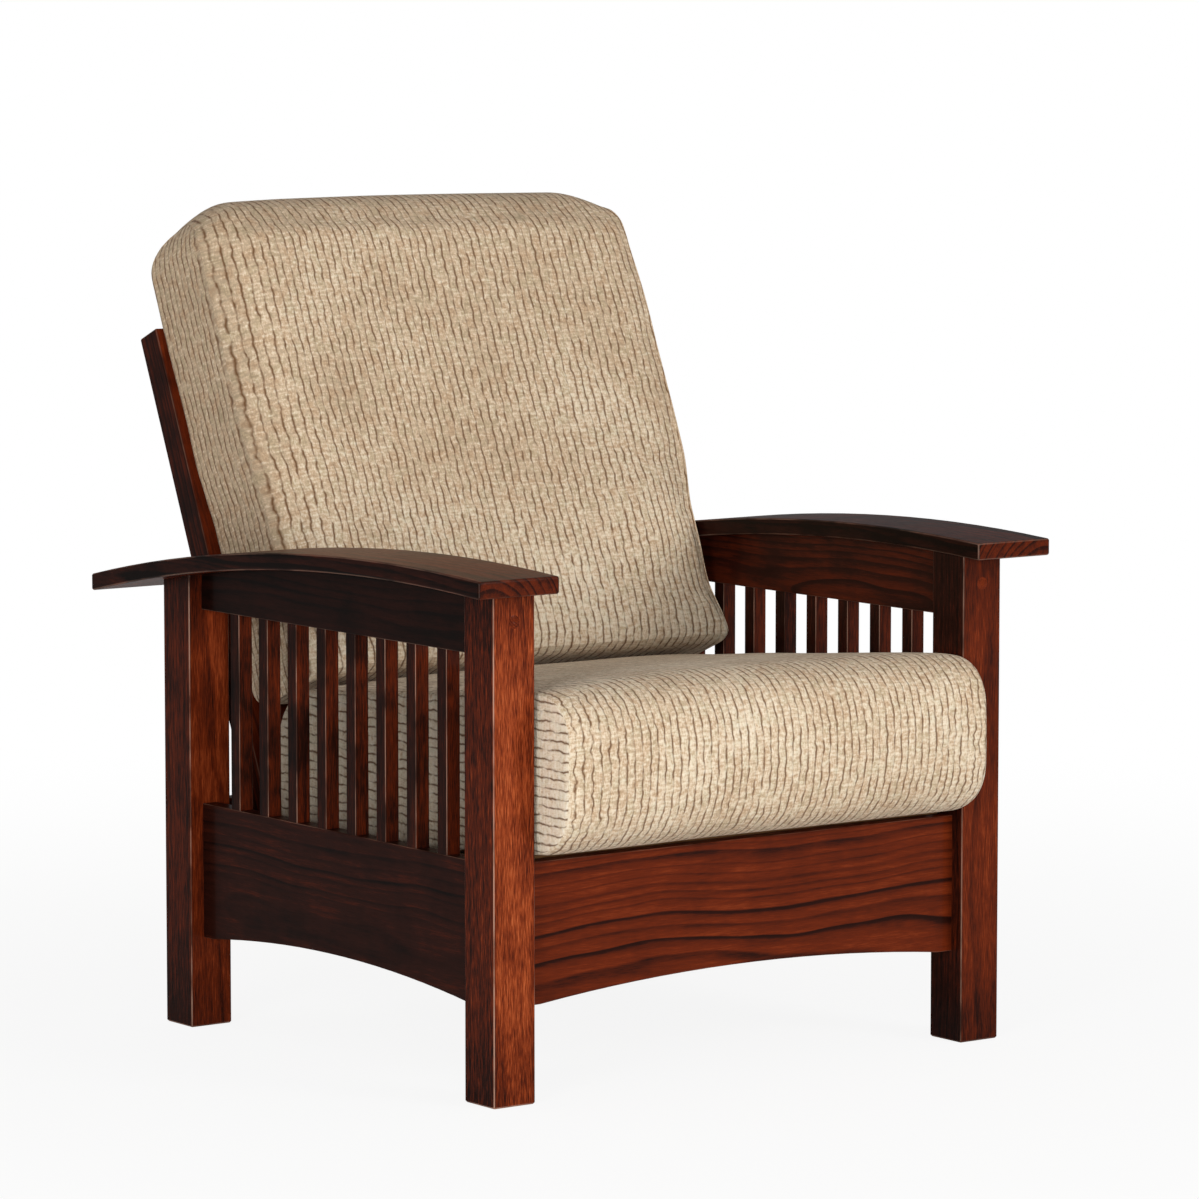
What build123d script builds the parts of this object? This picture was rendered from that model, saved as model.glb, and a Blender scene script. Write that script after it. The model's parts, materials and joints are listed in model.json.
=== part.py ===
# Mission reclining armchair with bowed arms, slatted sides, a hinged back held by pegs, and loose cushions
from build123d import *
import os
from math import cos, radians, sin, sqrt

# Millimetres. The front faces -Y, +X is to the right seen from the front, +Z is up.
# The origin is on the floor, under the middle of the chair's whole width and depth.
# "left" and "right" are as seen from the front.
os.makedirs("parts", exist_ok=True)

# Leg frame, over the outer faces of the square legs
frame_width = 733.0
frame_depth = 681.0
leg_size = 57.0
leg_ease = 2.5
foot_chamfer = 2.0

# Aprons at the front, rear and sides, each with an arched lower edge
rail_thickness = 21.0
apron_bottom = 108.0
apron_width = 162.0
arch_rise = 17.0
arch_land = 20.0
rail_ease = 1.5

# Rail under each arm and the square slats that it holds
arm_rail_bottom = 503.0
slat_size = 19.0
slat_pitch = 61.0
slats_per_side = 8
slat_ease = 1.5

# Bowed arms
arm_crest_height = 602.5
arm_crest_setback = 160.0
arm_radius = 2900.0
arm_thickness = 20.0
arm_outer_overhang = 45.0
arm_inner_overhang = 8.0
arm_front_overhang = 36.0
arm_rear_overhang = 90.5
arm_ease = 3.0

# Plug that covers the bolt in each front leg
plug_diameter = 15.0
plug_depth = 6.0
plug_height = 544.0
plug_dome = 0.8

# Hinged back frame
back_lean = 23.3
back_length = 642.0
stile_width = 38.0
stile_depth = 39.0
stile_ease = 2.5
stile_side_gap = 3.0
crest_rail_height = 74.0
crest_rail_drop = 14.0
foot_rail_height = 58.0
foot_rail_rise = 118.0
back_rail_thickness = 22.0
back_slat_count = 5
back_slat_width = 62.0
back_slat_thickness = 12.0

# Pivot bolts at the foot of the stiles
pivot_drop = 40.0
pivot_before_leg = 58.0
pivot_diameter = 10.0
pivot_head_diameter = 19.0
pivot_head_thickness = 5.0
pivot_clearance = 0.06
pivot_insertion = 20.0
pivot_block_length = 84.0
pivot_block_height = 60.0
washer_diameter = 24.0
washer_thickness = 2.0
running_gap = 0.3

# Adjusting pegs in the inner edges of the arms
peg_diameter = 9.5
peg_clearance = 0.08
peg_insertion = 40.0
peg_spare_depth = 4.0
peg_knob_diameter = 24.0
peg_knob_length = 20.0
peg_knob_ease = 4.0
peg_positions = 3
peg_step_angle = 5.0

# Seat frame with webbing, on cleats
seat_pitch = 5.7
seat_deck_rise = 5.0
seat_frame_member = 46.0
seat_frame_thickness = 21.0
seat_frame_side_gap = 2.5
seat_frame_end_gap = 1.5
cleat_height = 26.0
cleat_width = 34.0
web_width = 50.0
web_thickness = 2.0
long_web_count = 6
cross_web_count = 5
corner_block_leg = 62.0
corner_block_gap = 17.0
corner_block_rise = 6.0
screw_diameter = 4.5
screw_bite = 12.0
screw_head_diameter = 8.5
screw_head_thickness = 2.5
screw_clearance = 0.05

# Seat cushion
seat_cushion_side_gap = 7.5
seat_cushion_front = 59.0
seat_cushion_rear_gap = 16.0
seat_cushion_thickness = 185.0
seat_crown = 9.0
seat_front_crown = 5.0
seat_nose_radius = 48.0
seat_tail_radius = 60.0
seat_low_tail_radius = 22.0
seat_edge_inset = 14.0
seat_edge_run = 26.0

# Back cushion
back_cushion_left_gap = 12.0
back_cushion_right_gap = 1.0
back_cushion_lift = 22.3
back_cushion_length = 615.0
back_cushion_thickness = 158.0
back_crown = 16.0
back_corner_radius = 74.0
back_low_corner_radius = 26.0
back_low_edge_radius = 38.0
back_low_rear_radius = 22.0
back_top_radius_share = 0.46
back_edge_inset = 9.0
back_edge_run = 14.0
cushion_gap = 0.3

# Values that follow from the sizes above
half_width = frame_width / 2
half_depth = frame_depth / 2
rail_setback = (leg_size - rail_thickness) / 2
between_legs_x = half_width - leg_size
between_legs_y = half_depth - leg_size
apron_top = apron_bottom + apron_width
rail_outer_x = half_width - rail_setback
rail_inner_x = rail_outer_x - rail_thickness
rail_inner_y = half_depth - rail_setback - rail_thickness
slat_outer_x = half_width - (leg_size - slat_size) / 2

# Bow of the arm, as circles about one centre in the side view
arm_crest_y = -half_depth + arm_crest_setback
arm_center_z = arm_crest_height - arm_radius
arm_under_radius = arm_radius - arm_thickness
arm_middle_radius = arm_radius - arm_thickness / 2
arm_front_y = -half_depth - arm_front_overhang
arm_rear_y = half_depth + arm_rear_overhang
arm_outer_x = half_width + arm_outer_overhang
arm_inner_x = between_legs_x - arm_inner_overhang

# The pivots and the seat deck follow the aprons' top
pivot_height = apron_top - pivot_drop
seat_deck_height = apron_top + seat_deck_rise

# Back frame directions in the side view: up the stile, and forward out of its face
lean_up = (sin(radians(back_lean)), cos(radians(back_lean)))
lean_out = (-cos(radians(back_lean)), sin(radians(back_lean)))
pivot_y = between_legs_y - pivot_before_leg
stile_outer_x = arm_inner_x - stile_side_gap
stile_inner_x = stile_outer_x - stile_width

# The rearmost point is the eased upper rear corner of a stile, the foremost one is the seat cushion
stile_top_y = pivot_y + back_length * lean_up[0] - stile_depth / 2 * lean_out[0]
stile_rear_y = stile_top_y - stile_ease * (lean_up[0] - lean_out[0] - 1)
seat_front_y = -half_depth - seat_cushion_front
middle_y = (max(stile_rear_y, arm_rear_y) + min(seat_front_y, arm_front_y)) / 2

sides = (("left", -1), ("right", 1))


def arc_height(y, radius):
    """Height of a circle about the arm's centre at the place y along the chair."""
    return arm_center_z + sqrt(radius**2 - (y - arm_crest_y) ** 2)


def side_view(x):
    """Plane across the chair at x, whose own x runs to the rear and whose y runs up."""
    return Plane(origin=(x, -middle_y, 0), x_dir=(0, 1, 0), z_dir=(1, 0, 0))


def front_view(y):
    """Plane along the chair at y, whose own x runs to the right and whose y runs up."""
    return Plane(origin=(0, y - middle_y, 0), x_dir=(1, 0, 0), z_dir=(0, -1, 0))


def rear_view(y):
    """Plane along the chair at y that looks to the rear, whose own x runs to the left."""
    return Plane(origin=(0, y - middle_y, 0), x_dir=(-1, 0, 0), z_dir=(0, 1, 0))


def top_view(z):
    """Level plane at height z, whose own x runs to the right and whose y runs to the rear."""
    return Plane(origin=(0, -middle_y, z))


def back_view(out):
    """Plane along the back's faces, out from the pivot line, whose own y runs up the stiles."""
    return Plane(
        origin=(0, pivot_y - middle_y + out * lean_out[0], pivot_height + out * lean_out[1]),
        x_dir=(1, 0, 0),
        z_dir=(0, lean_out[0], lean_out[1]),
    )


def back_side_view(x):
    """Plane across the leaning back at x, whose own x runs forward and whose y runs up the stiles."""
    return Plane(
        origin=(x, pivot_y - middle_y, pivot_height),
        x_dir=(0, lean_out[0], lean_out[1]),
        z_dir=(-1, 0, 0),
    )


def seat_top_view(up):
    """Plane of the tilted seat, up from its deck, whose own x runs right and whose y runs rearward."""
    tilt = radians(seat_pitch)
    front_y = rail_setback + rail_thickness - half_depth - middle_y
    return Plane(
        origin=(0, front_y + up * sin(tilt), seat_deck_height + up * cos(tilt)),
        x_dir=(1, 0, 0),
        z_dir=(0, sin(tilt), cos(tilt)),
    )


def finish(builder, name):
    """Label a finished piece and write it under its name."""
    builder.part.label = name
    export_step(builder.part, f"parts/{name}.step")


def arch_profile(length):
    """Outline of an apron of this length: straight on top, arched below between two short lands."""
    end = length / 2
    Polyline(
        (-end + arch_land, apron_bottom),
        (-end, apron_bottom),
        (-end, apron_top),
        (end, apron_top),
        (end, apron_bottom),
        (end - arch_land, apron_bottom),
    )
    ThreePointArc(
        (end - arch_land, apron_bottom), (0, apron_bottom + arch_rise), (-end + arch_land, apron_bottom)
    )


def under_arm_profile(start_y, end_y, low_z):
    """Outline of a piece whose level lower edge is at low_z and whose top follows the arm's underside."""
    middle = (start_y + end_y) / 2
    start_z = arc_height(start_y, arm_under_radius)
    end_z = arc_height(end_y, arm_under_radius)
    Polyline((start_y, start_z), (start_y, low_z), (end_y, low_z), (end_y, end_z))
    ThreePointArc((end_y, end_z), (middle, arc_height(middle, arm_under_radius)), (start_y, start_z))


# Cleats, pivot blocks and the screws that hold them
deck_front_y = rail_setback + rail_thickness - half_depth
deck_slope = sin(radians(seat_pitch)) / cos(radians(seat_pitch))
cleat_top_below_deck = 2 * web_thickness + seat_frame_thickness
cleat_inner_x = rail_inner_x - cleat_width
block_inner_x = stile_outer_x + washer_thickness + running_gap
block_front_y = pivot_y - pivot_block_length / 2


def cleat_top(y):
    """Height of the cleats' upper faces at the place y."""
    return seat_deck_height - cleat_top_below_deck / cos(radians(seat_pitch)) - (y - deck_front_y) * deck_slope


cleat_start_y = -between_legs_y
cleat_run = block_front_y - cleat_start_y
cleat_screw_shares = (0.12, 0.5, 0.88)
block_screw_shares = (-0.33, 0.33)
front_screw_shares = (-0.75, 0, 0.75)
cleat_screw_places = [
    (cleat_start_y + share * cleat_run, cleat_top(cleat_start_y + share * cleat_run) - cleat_height / 2)
    for share in cleat_screw_shares
]
block_screw_places = [(pivot_y + share * pivot_block_length, pivot_height) for share in block_screw_shares]
front_screw_y = deck_front_y + cleat_width
front_screw_places = [
    (share * cleat_inner_x, cleat_top(front_screw_y) - cleat_height / 2) for share in front_screw_shares
]
screw_hole_radius = screw_diameter / 2 + screw_clearance
screw_head_radius = screw_head_diameter / 2 + screw_clearance


def circles(plane, places, radius):
    """Sketch of circles of one radius at these places of a plane."""
    with BuildSketch(plane) as sketch:
        with Locations(*places):
            Circle(radius)
    return sketch.sketch


def screw_pilots(plane, places):
    """Cut the pilot holes of screws into the open piece, from its plane and against its normal."""
    depth = screw_bite + screw_clearance
    extrude(circles(plane, places, screw_hole_radius), amount=-depth, mode=Mode.SUBTRACT)


def screw_passages(plane, places, thickness):
    """Cut a screw's clearance hole and head recess through the open piece, against the plane's normal."""
    extrude(circles(plane, places, screw_hole_radius), amount=-thickness, mode=Mode.SUBTRACT)
    extrude(circles(plane, places, screw_head_radius), amount=-screw_head_thickness, mode=Mode.SUBTRACT)


def add_screws(plane, places, thickness):
    """Add screws to the open group, with their heads flush in a piece of this thickness."""
    extrude(circles(plane, places, screw_head_diameter / 2), amount=-screw_head_thickness)
    shank = circles(plane.offset(-screw_head_thickness), places, screw_diameter / 2)
    extrude(shank, amount=-(thickness + screw_bite - screw_head_thickness))


def inward_view(side, x):
    """Plane across the chair at side * x that looks inward, whose own x runs to the rear."""
    if side < 0:
        return side_view(-x)
    return Plane(origin=(x, -middle_y, 0), x_dir=(0, 1, 0), z_dir=(-1, 0, 0))


def inward_places(side, places):
    """The same places in the inward view, where up is mirrored on the right side."""
    return [(y, -side * z) for y, z in places]


# Legs, whose tops follow the arms' undersides
for end_name, end_sign in (("front", -1), ("rear", 1)):
    for side_name, side in sides:
        inner_y = end_sign * between_legs_y
        outer_y = end_sign * half_depth
        with BuildPart() as leg:
            with BuildSketch(side_view(min(side * half_width, side * between_legs_x))):
                with BuildLine():
                    under_arm_profile(min(inner_y, outer_y), max(inner_y, outer_y), 0)
                make_face()
            extrude(amount=leg_size)
            fillet(leg.edges().filter_by(Axis.Z), leg_ease)
            chamfer(leg.faces().sort_by(Axis.Z)[0].edges(), foot_chamfer)
            if end_name == "front":
                plug_places = [(side * (half_width - leg_size / 2), plug_height)]
                socket = circles(front_view(outer_y), plug_places, plug_diameter / 2)
                extrude(socket, amount=-plug_depth, mode=Mode.SUBTRACT)
        finish(leg, f"{side_name}_{end_name}_leg")

# Domed plugs in the front legs
with BuildPart() as leg_plugs:
    dome_radius = (plug_diameter**2 / 4 + plug_dome**2) / (2 * plug_dome)
    for side_name, side in sides:
        with BuildSketch(top_view(plug_height)):
            with BuildLine():
                plug_x = side * (half_width - leg_size / 2)
                Polyline(
                    (plug_x, -half_depth - plug_dome),
                    (plug_x, -half_depth + plug_depth),
                    (plug_x + plug_diameter / 2, -half_depth + plug_depth),
                    (plug_x + plug_diameter / 2, -half_depth),
                )
                RadiusArc(
                    (plug_x + plug_diameter / 2, -half_depth), (plug_x, -half_depth - plug_dome), dome_radius
                )
            make_face()
        revolve(axis=Axis((plug_x, -middle_y, plug_height), (0, 1, 0)))
finish(leg_plugs, "leg_plugs")

# Front and rear aprons
for name, rear_face_y in (
    ("front_apron", -half_depth + rail_setback + rail_thickness),
    ("rear_apron", half_depth - rail_setback),
):
    with BuildPart() as apron:
        with BuildSketch(front_view(rear_face_y)):
            with BuildLine():
                arch_profile(2 * between_legs_x)
            make_face()
        extrude(amount=rail_thickness)
        fillet(apron.edges().filter_by(Axis.Y, reverse=True).filter_by(Axis.Z, reverse=True), rail_ease)
        if name == "front_apron":
            screw_pilots(rear_view(rear_face_y), front_screw_places)
    finish(apron, name)

# Side aprons, with pilot holes for the cleats and pivot blocks
for side_name, side in sides:
    with BuildPart() as apron:
        with BuildSketch(side_view(min(side * rail_outer_x, side * rail_inner_x))):
            with BuildLine():
                arch_profile(2 * between_legs_y)
            make_face()
        extrude(amount=rail_thickness)
        fillet(apron.edges().filter_by(Axis.X, reverse=True).filter_by(Axis.Z, reverse=True), rail_ease)
        screw_pilots(
            inward_view(side, rail_inner_x), inward_places(side, cleat_screw_places + block_screw_places)
        )
    finish(apron, f"{side_name}_side_apron")

# Rails under the arms
for side_name, side in sides:
    with BuildPart() as arm_rail:
        with BuildSketch(side_view(min(side * rail_outer_x, side * rail_inner_x))):
            with BuildLine():
                under_arm_profile(-between_legs_y, between_legs_y, arm_rail_bottom)
            make_face()
        extrude(amount=rail_thickness)
        low_edges = arm_rail.edges().group_by(Axis.Z)[0].filter_by(Axis.Y)
        fillet(low_edges, rail_ease)
    finish(arm_rail, f"{side_name}_arm_rail")

# Square slats between the side aprons and the arm rails
for side_name, side in sides:
    for index in range(slats_per_side):
        slat_y = (index - (slats_per_side - 1) / 2) * slat_pitch
        with BuildPart() as slat:
            with BuildSketch(top_view(apron_top)):
                with Locations((side * (slat_outer_x - slat_size / 2), slat_y)):
                    Rectangle(slat_size, slat_size)
            extrude(amount=arm_rail_bottom - apron_top)
            fillet(slat.edges().filter_by(Axis.Z), slat_ease)
        finish(slat, f"{side_name}_slat_{index + 1}")


def peg_place(position):
    """Place in the side view of a peg that the stiles meet at this position, counted from the lowest."""
    lean = radians(back_lean - position * peg_step_angle)
    reach = stile_depth / 2 + running_gap + peg_diameter / 2
    start = (pivot_y + reach * cos(lean) - arm_crest_y, pivot_height - reach * sin(lean) - arm_center_z)
    along = start[0] * sin(lean) + start[1] * cos(lean)
    rest = start[0] ** 2 + start[1] ** 2 - arm_middle_radius**2
    length = sqrt(along**2 - rest) - along
    return (
        start[0] + arm_crest_y + length * sin(lean),
        start[1] + arm_center_z + length * cos(lean),
    )


# Bowed arms, each with a row of peg holes in its inner edge
peg_places = [peg_place(position) for position in range(peg_positions)]
for side_name, side in sides:
    with BuildPart() as arm:
        with BuildSketch(side_view(min(side * arm_outer_x, side * arm_inner_x))):
            with BuildLine():
                middle = (arm_front_y + arm_rear_y) / 2
                top_points = [(y, arc_height(y, arm_radius)) for y in (arm_front_y, middle, arm_rear_y)]
                low_points = [(y, arc_height(y, arm_under_radius)) for y in (arm_front_y, middle, arm_rear_y)]
                ThreePointArc(*top_points)
                Line(top_points[2], low_points[2])
                ThreePointArc(*reversed(low_points))
                Line(low_points[0], top_points[0])
            make_face()
        extrude(amount=arm_outer_x - arm_inner_x)
        fillet(arm.edges(), arm_ease)
        peg_holes = circles(
            inward_view(side, arm_inner_x), inward_places(side, peg_places), peg_diameter / 2 + peg_clearance
        )
        extrude(peg_holes, amount=-(peg_insertion + peg_spare_depth), mode=Mode.SUBTRACT)
    finish(arm, f"{side_name}_arm")

# Turned pegs in the rearmost holes, behind the stiles, each with a knob past the stile's inner face
peg_reach = stile_outer_x - stile_inner_x + stile_side_gap + running_gap
for side_name, side in sides:
    used_place = inward_places(side, peg_places[:1])
    with BuildPart() as peg:
        shank = circles(inward_view(side, arm_inner_x + peg_insertion), used_place, peg_diameter / 2)
        extrude(shank, amount=peg_insertion + peg_reach)
        knob = circles(inward_view(side, arm_inner_x - peg_reach), used_place, peg_knob_diameter / 2)
        extrude(knob, amount=peg_knob_length)
        knob_rims = peg.edges().filter_by(GeomType.CIRCLE).sort_by(lambda edge: edge.radius)[-2:]
        fillet(knob_rims, peg_knob_ease)
    finish(peg, f"{side_name}_peg")

# Side cleats that carry the seat frame, sloping with the seat
for side_name, side in sides:
    with BuildPart() as cleat:
        with BuildSketch(side_view(min(side * rail_inner_x, side * cleat_inner_x))):
            with BuildLine():
                Polyline(
                    (cleat_start_y, cleat_top(cleat_start_y)),
                    (block_front_y, cleat_top(block_front_y)),
                    (block_front_y, cleat_top(block_front_y) - cleat_height),
                    (cleat_start_y, cleat_top(cleat_start_y) - cleat_height),
                    close=True,
                )
            make_face()
        extrude(amount=cleat_width)
        screw_passages(
            inward_view(side, cleat_inner_x), inward_places(side, cleat_screw_places), cleat_width
        )
    finish(cleat, f"{side_name}_cleat")

# Front cleat, between the side cleats
with BuildPart() as front_cleat:
    with BuildSketch(side_view(-cleat_inner_x)):
        with BuildLine():
            Polyline(
                (deck_front_y, cleat_top(deck_front_y)),
                (front_screw_y, cleat_top(front_screw_y)),
                (front_screw_y, cleat_top(front_screw_y) - cleat_height),
                (deck_front_y, cleat_top(deck_front_y) - cleat_height),
                close=True,
            )
        make_face()
    extrude(amount=2 * cleat_inner_x)
    screw_passages(rear_view(front_screw_y), front_screw_places, cleat_width)
finish(front_cleat, "front_cleat")

# Pivot blocks on the side aprons, each bored for the back's pivot bolt
block_thickness = rail_inner_x - block_inner_x
for side_name, side in sides:
    pivot_place = inward_places(side, [(pivot_y, pivot_height)])
    with BuildPart() as block:
        with BuildSketch(side_view(min(side * rail_inner_x, side * block_inner_x))):
            with Locations((pivot_y, pivot_height)):
                Rectangle(pivot_block_length, pivot_block_height)
        extrude(amount=block_thickness)
        screw_passages(
            inward_view(side, block_inner_x), inward_places(side, block_screw_places), block_thickness
        )
        bore = circles(inward_view(side, block_inner_x), pivot_place, pivot_diameter / 2 + pivot_clearance)
        extrude(bore, amount=-pivot_insertion, mode=Mode.SUBTRACT)
    finish(block, f"{side_name}_pivot_block")

# Pivot bolts, with a head at the stile's inner face
head_face_x = stile_inner_x - running_gap
for side_name, side in sides:
    pivot_place = inward_places(side, [(pivot_y, pivot_height)])
    with BuildPart() as bolt:
        shank = circles(inward_view(side, block_inner_x + pivot_insertion), pivot_place, pivot_diameter / 2)
        extrude(shank, amount=block_inner_x + pivot_insertion - head_face_x)
        head = circles(inward_view(side, head_face_x), pivot_place, pivot_head_diameter / 2)
        extrude(head, amount=pivot_head_thickness)
    finish(bolt, f"{side_name}_pivot_bolt")

# Washers between the pivot blocks and the stiles
with BuildPart() as pivot_washers:
    for side_name, side in sides:
        with BuildSketch(inward_view(side, block_inner_x)):
            with Locations(*inward_places(side, [(pivot_y, pivot_height)])):
                Circle(washer_diameter / 2)
                Circle(pivot_diameter / 2 + pivot_clearance, mode=Mode.SUBTRACT)
        extrude(amount=washer_thickness)
finish(pivot_washers, "pivot_washers")

# Wood screws of the cleats and pivot blocks
with BuildPart() as frame_screws:
    for side_name, side in sides:
        add_screws(inward_view(side, cleat_inner_x), inward_places(side, cleat_screw_places), cleat_width)
        add_screws(
            inward_view(side, block_inner_x), inward_places(side, block_screw_places), block_thickness
        )
    add_screws(rear_view(front_screw_y), front_screw_places, cleat_width)
finish(frame_screws, "frame_screws")

# Corner blocks, glued round the legs into the corners of the aprons, below the pivot blocks
corner_block_bottom = apron_bottom + arch_rise + corner_block_rise
corner_block_top = pivot_height - pivot_block_height / 2 - corner_block_gap
with BuildPart() as corner_blocks:
    for side_name, side in sides:
        for end_sign in (-1, 1):
            block_points = (
                (between_legs_x, rail_inner_y),
                (between_legs_x - corner_block_leg, rail_inner_y),
                (rail_inner_x, between_legs_y - corner_block_leg),
                (rail_inner_x, between_legs_y),
                (between_legs_x, between_legs_y),
            )
            with BuildSketch(top_view(corner_block_bottom)):
                with BuildLine():
                    Polyline(*[(side * x, end_sign * y) for x, y in block_points], close=True)
                make_face()
            extrude(amount=corner_block_top - corner_block_bottom)
finish(corner_blocks, "corner_blocks")

# Webbed seat frame between the front apron and the pivot blocks, tilted with the seat on its cleats
seat_frame_x = between_legs_x - seat_frame_side_gap
seat_tilt_run = seat_frame_end_gap / cos(radians(seat_pitch))
seat_frame_start = cleat_top_below_deck * deck_slope + seat_tilt_run
seat_frame_end = (block_front_y - deck_front_y) / cos(radians(seat_pitch)) - seat_tilt_run
seat_frame_depth = seat_frame_end - seat_frame_start
seat_frame_middle = (seat_frame_start + seat_frame_end) / 2
side_member_length = seat_frame_depth - 2 * seat_frame_member
for name, middle in (
    ("seat_frame_front", seat_frame_start + seat_frame_member / 2),
    ("seat_frame_rear", seat_frame_end - seat_frame_member / 2),
):
    with BuildPart() as member:
        with BuildSketch(seat_top_view(-cleat_top_below_deck)):
            with Locations((0, middle)):
                Rectangle(2 * seat_frame_x, seat_frame_member)
        extrude(amount=seat_frame_thickness + web_thickness)
    finish(member, name)
for side_name, side in sides:
    with BuildPart() as member:
        with BuildSketch(seat_top_view(-cleat_top_below_deck)):
            with Locations((side * (seat_frame_x - seat_frame_member / 2), seat_frame_middle)):
                Rectangle(seat_frame_member, side_member_length)
        extrude(amount=seat_frame_thickness)
    finish(member, f"seat_frame_{side_name}")

# Webbing: straps across the side members, and straps from front to rear over them
with BuildPart() as cross_webbing:
    with BuildSketch(seat_top_view(-2 * web_thickness)):
        with Locations((0, seat_frame_middle)):
            with GridLocations(0, side_member_length / cross_web_count, 1, cross_web_count):
                Rectangle(2 * seat_frame_x, web_width)
    extrude(amount=web_thickness)
finish(cross_webbing, "cross_webbing")
with BuildPart() as long_webbing:
    with BuildSketch(seat_top_view(-web_thickness)):
        with Locations((0, seat_frame_middle)):
            with GridLocations((2 * seat_frame_x - seat_frame_member) / long_web_count, 0, long_web_count, 1):
                Rectangle(web_width, seat_frame_depth)
    extrude(amount=web_thickness)
finish(long_webbing, "long_webbing")

# Stiles of the back, round about the pivot bolt at the foot
stile_half_depth = stile_depth / 2
for side_name, side in sides:
    with BuildPart() as stile:
        with BuildSketch(back_side_view(max(side * stile_outer_x, side * stile_inner_x))):
            with BuildLine():
                Polyline(
                    (-stile_half_depth, 0),
                    (-stile_half_depth, back_length),
                    (stile_half_depth, back_length),
                    (stile_half_depth, 0),
                )
                ThreePointArc((stile_half_depth, 0), (0, -stile_half_depth), (-stile_half_depth, 0))
            make_face()
            Circle(pivot_diameter / 2 + pivot_clearance, mode=Mode.SUBTRACT)
        extrude(amount=stile_width)
        bore_edges = stile.edges().filter_by(GeomType.CIRCLE).filter_by(
            lambda edge: edge.radius < stile_half_depth - stile_ease
        )
        fillet(stile.edges() - bore_edges, stile_ease)
    finish(stile, f"{side_name}_stile")

# Crest rail and foot rail between the stiles
for name, top, height in (
    ("crest_rail", back_length - crest_rail_drop, crest_rail_height),
    ("foot_rail", foot_rail_rise + foot_rail_height, foot_rail_height),
):
    with BuildPart() as rail:
        with BuildSketch(back_view(-back_rail_thickness / 2)):
            with Locations((0, top - height / 2)):
                Rectangle(2 * stile_inner_x, height)
        extrude(amount=back_rail_thickness)
        fillet(rail.edges().filter_by(Axis.X), rail_ease)
    finish(rail, name)

# Flat slats of the back
back_slat_start = foot_rail_rise + foot_rail_height
back_slat_length = back_length - crest_rail_drop - crest_rail_height - back_slat_start
back_slat_pitch = 2 * stile_inner_x / (back_slat_count + 1)
for index in range(back_slat_count):
    slat_x = (index - (back_slat_count - 1) / 2) * back_slat_pitch
    with BuildPart() as back_slat:
        with BuildSketch(back_view(-back_slat_thickness / 2)):
            with Locations((slat_x, back_slat_start + back_slat_length / 2)):
                Rectangle(back_slat_width, back_slat_length)
        extrude(amount=back_slat_thickness)
        long_edges = back_slat.faces().sort_by(Axis.X)[0].edges() + back_slat.faces().sort_by(Axis.X)[-1].edges()
        fillet([edge for edge in long_edges if edge.length > back_slat_thickness], slat_ease)
    finish(back_slat, f"back_slat_{index + 1}")


def round_share(distance, run):
    """Share of an edge's full inset at this distance from the cushion's side, on a quarter circle."""
    if distance >= run:
        return 0
    return 1 - sqrt(1 - (1 - distance / run) ** 2)


def cushion_stations(half, run, edge_shares, middle_shares):
    """Places across a cushion: close together within the run at its sides, wide apart between."""
    right = [half - share * run for share in edge_shares] + [share * half for share in middle_shares]
    return [-x for x in right] + [0] + right[::-1]


def corner_nearest(sketch, x, y):
    """The corner of an open sketch nearest to this place."""
    return sketch.vertices().sort_by_distance((x, y, 0))[0]


# Seat cushion: crowned top, rounded nose over the front apron, rounded tail under the back cushion
seat_half = between_legs_x - seat_cushion_side_gap
seat_rear_y = pivot_y - stile_half_depth - seat_cushion_rear_gap
seat_edge_shares = (0, 0.12, 0.4, 1)
seat_middle_shares = (0.85, 0.68, 0.45, 0.22)


def deck_height(y):
    """Height of the seat deck at the place y."""
    return seat_deck_height - (y - deck_front_y) * deck_slope


with BuildPart() as seat_cushion:
    for x in cushion_stations(seat_half, seat_edge_run, seat_edge_shares, seat_middle_shares):
        inset = seat_edge_inset * round_share(seat_half - abs(x), seat_edge_run)
        fullness = 1 - (x / seat_half) ** 2
        front_y = seat_front_y + inset + seat_front_crown * (1 - fullness)
        rear_y = seat_rear_y - inset
        lift = cushion_gap + inset
        rise = cushion_gap + seat_cushion_thickness - inset + seat_crown * fullness
        corners = {
            "nose_low": (front_y, deck_height(front_y) + lift),
            "nose_high": (front_y, deck_height(front_y) + rise),
            "tail_high": (rear_y, deck_height(rear_y) + rise),
            "tail_low": (rear_y, deck_height(rear_y) + lift),
        }
        top_middle_y = (front_y + rear_y) / 2
        with BuildSketch(side_view(x)) as section:
            with BuildLine():
                Polyline(corners["tail_high"], corners["tail_low"], corners["nose_low"], corners["nose_high"])
                ThreePointArc(
                    corners["nose_high"],
                    (top_middle_y, deck_height(top_middle_y) + rise + seat_crown * fullness / 2 + cushion_gap),
                    corners["tail_high"],
                )
            make_face()
            fillet(corner_nearest(section, *corners["nose_low"]), seat_nose_radius)
            fillet(corner_nearest(section, *corners["nose_high"]), seat_nose_radius)
            fillet(corner_nearest(section, *corners["tail_high"]), seat_tail_radius)
            fillet(corner_nearest(section, *corners["tail_low"]), seat_low_tail_radius)
    loft(ruled=True)
finish(seat_cushion, "seat_cushion")

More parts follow.
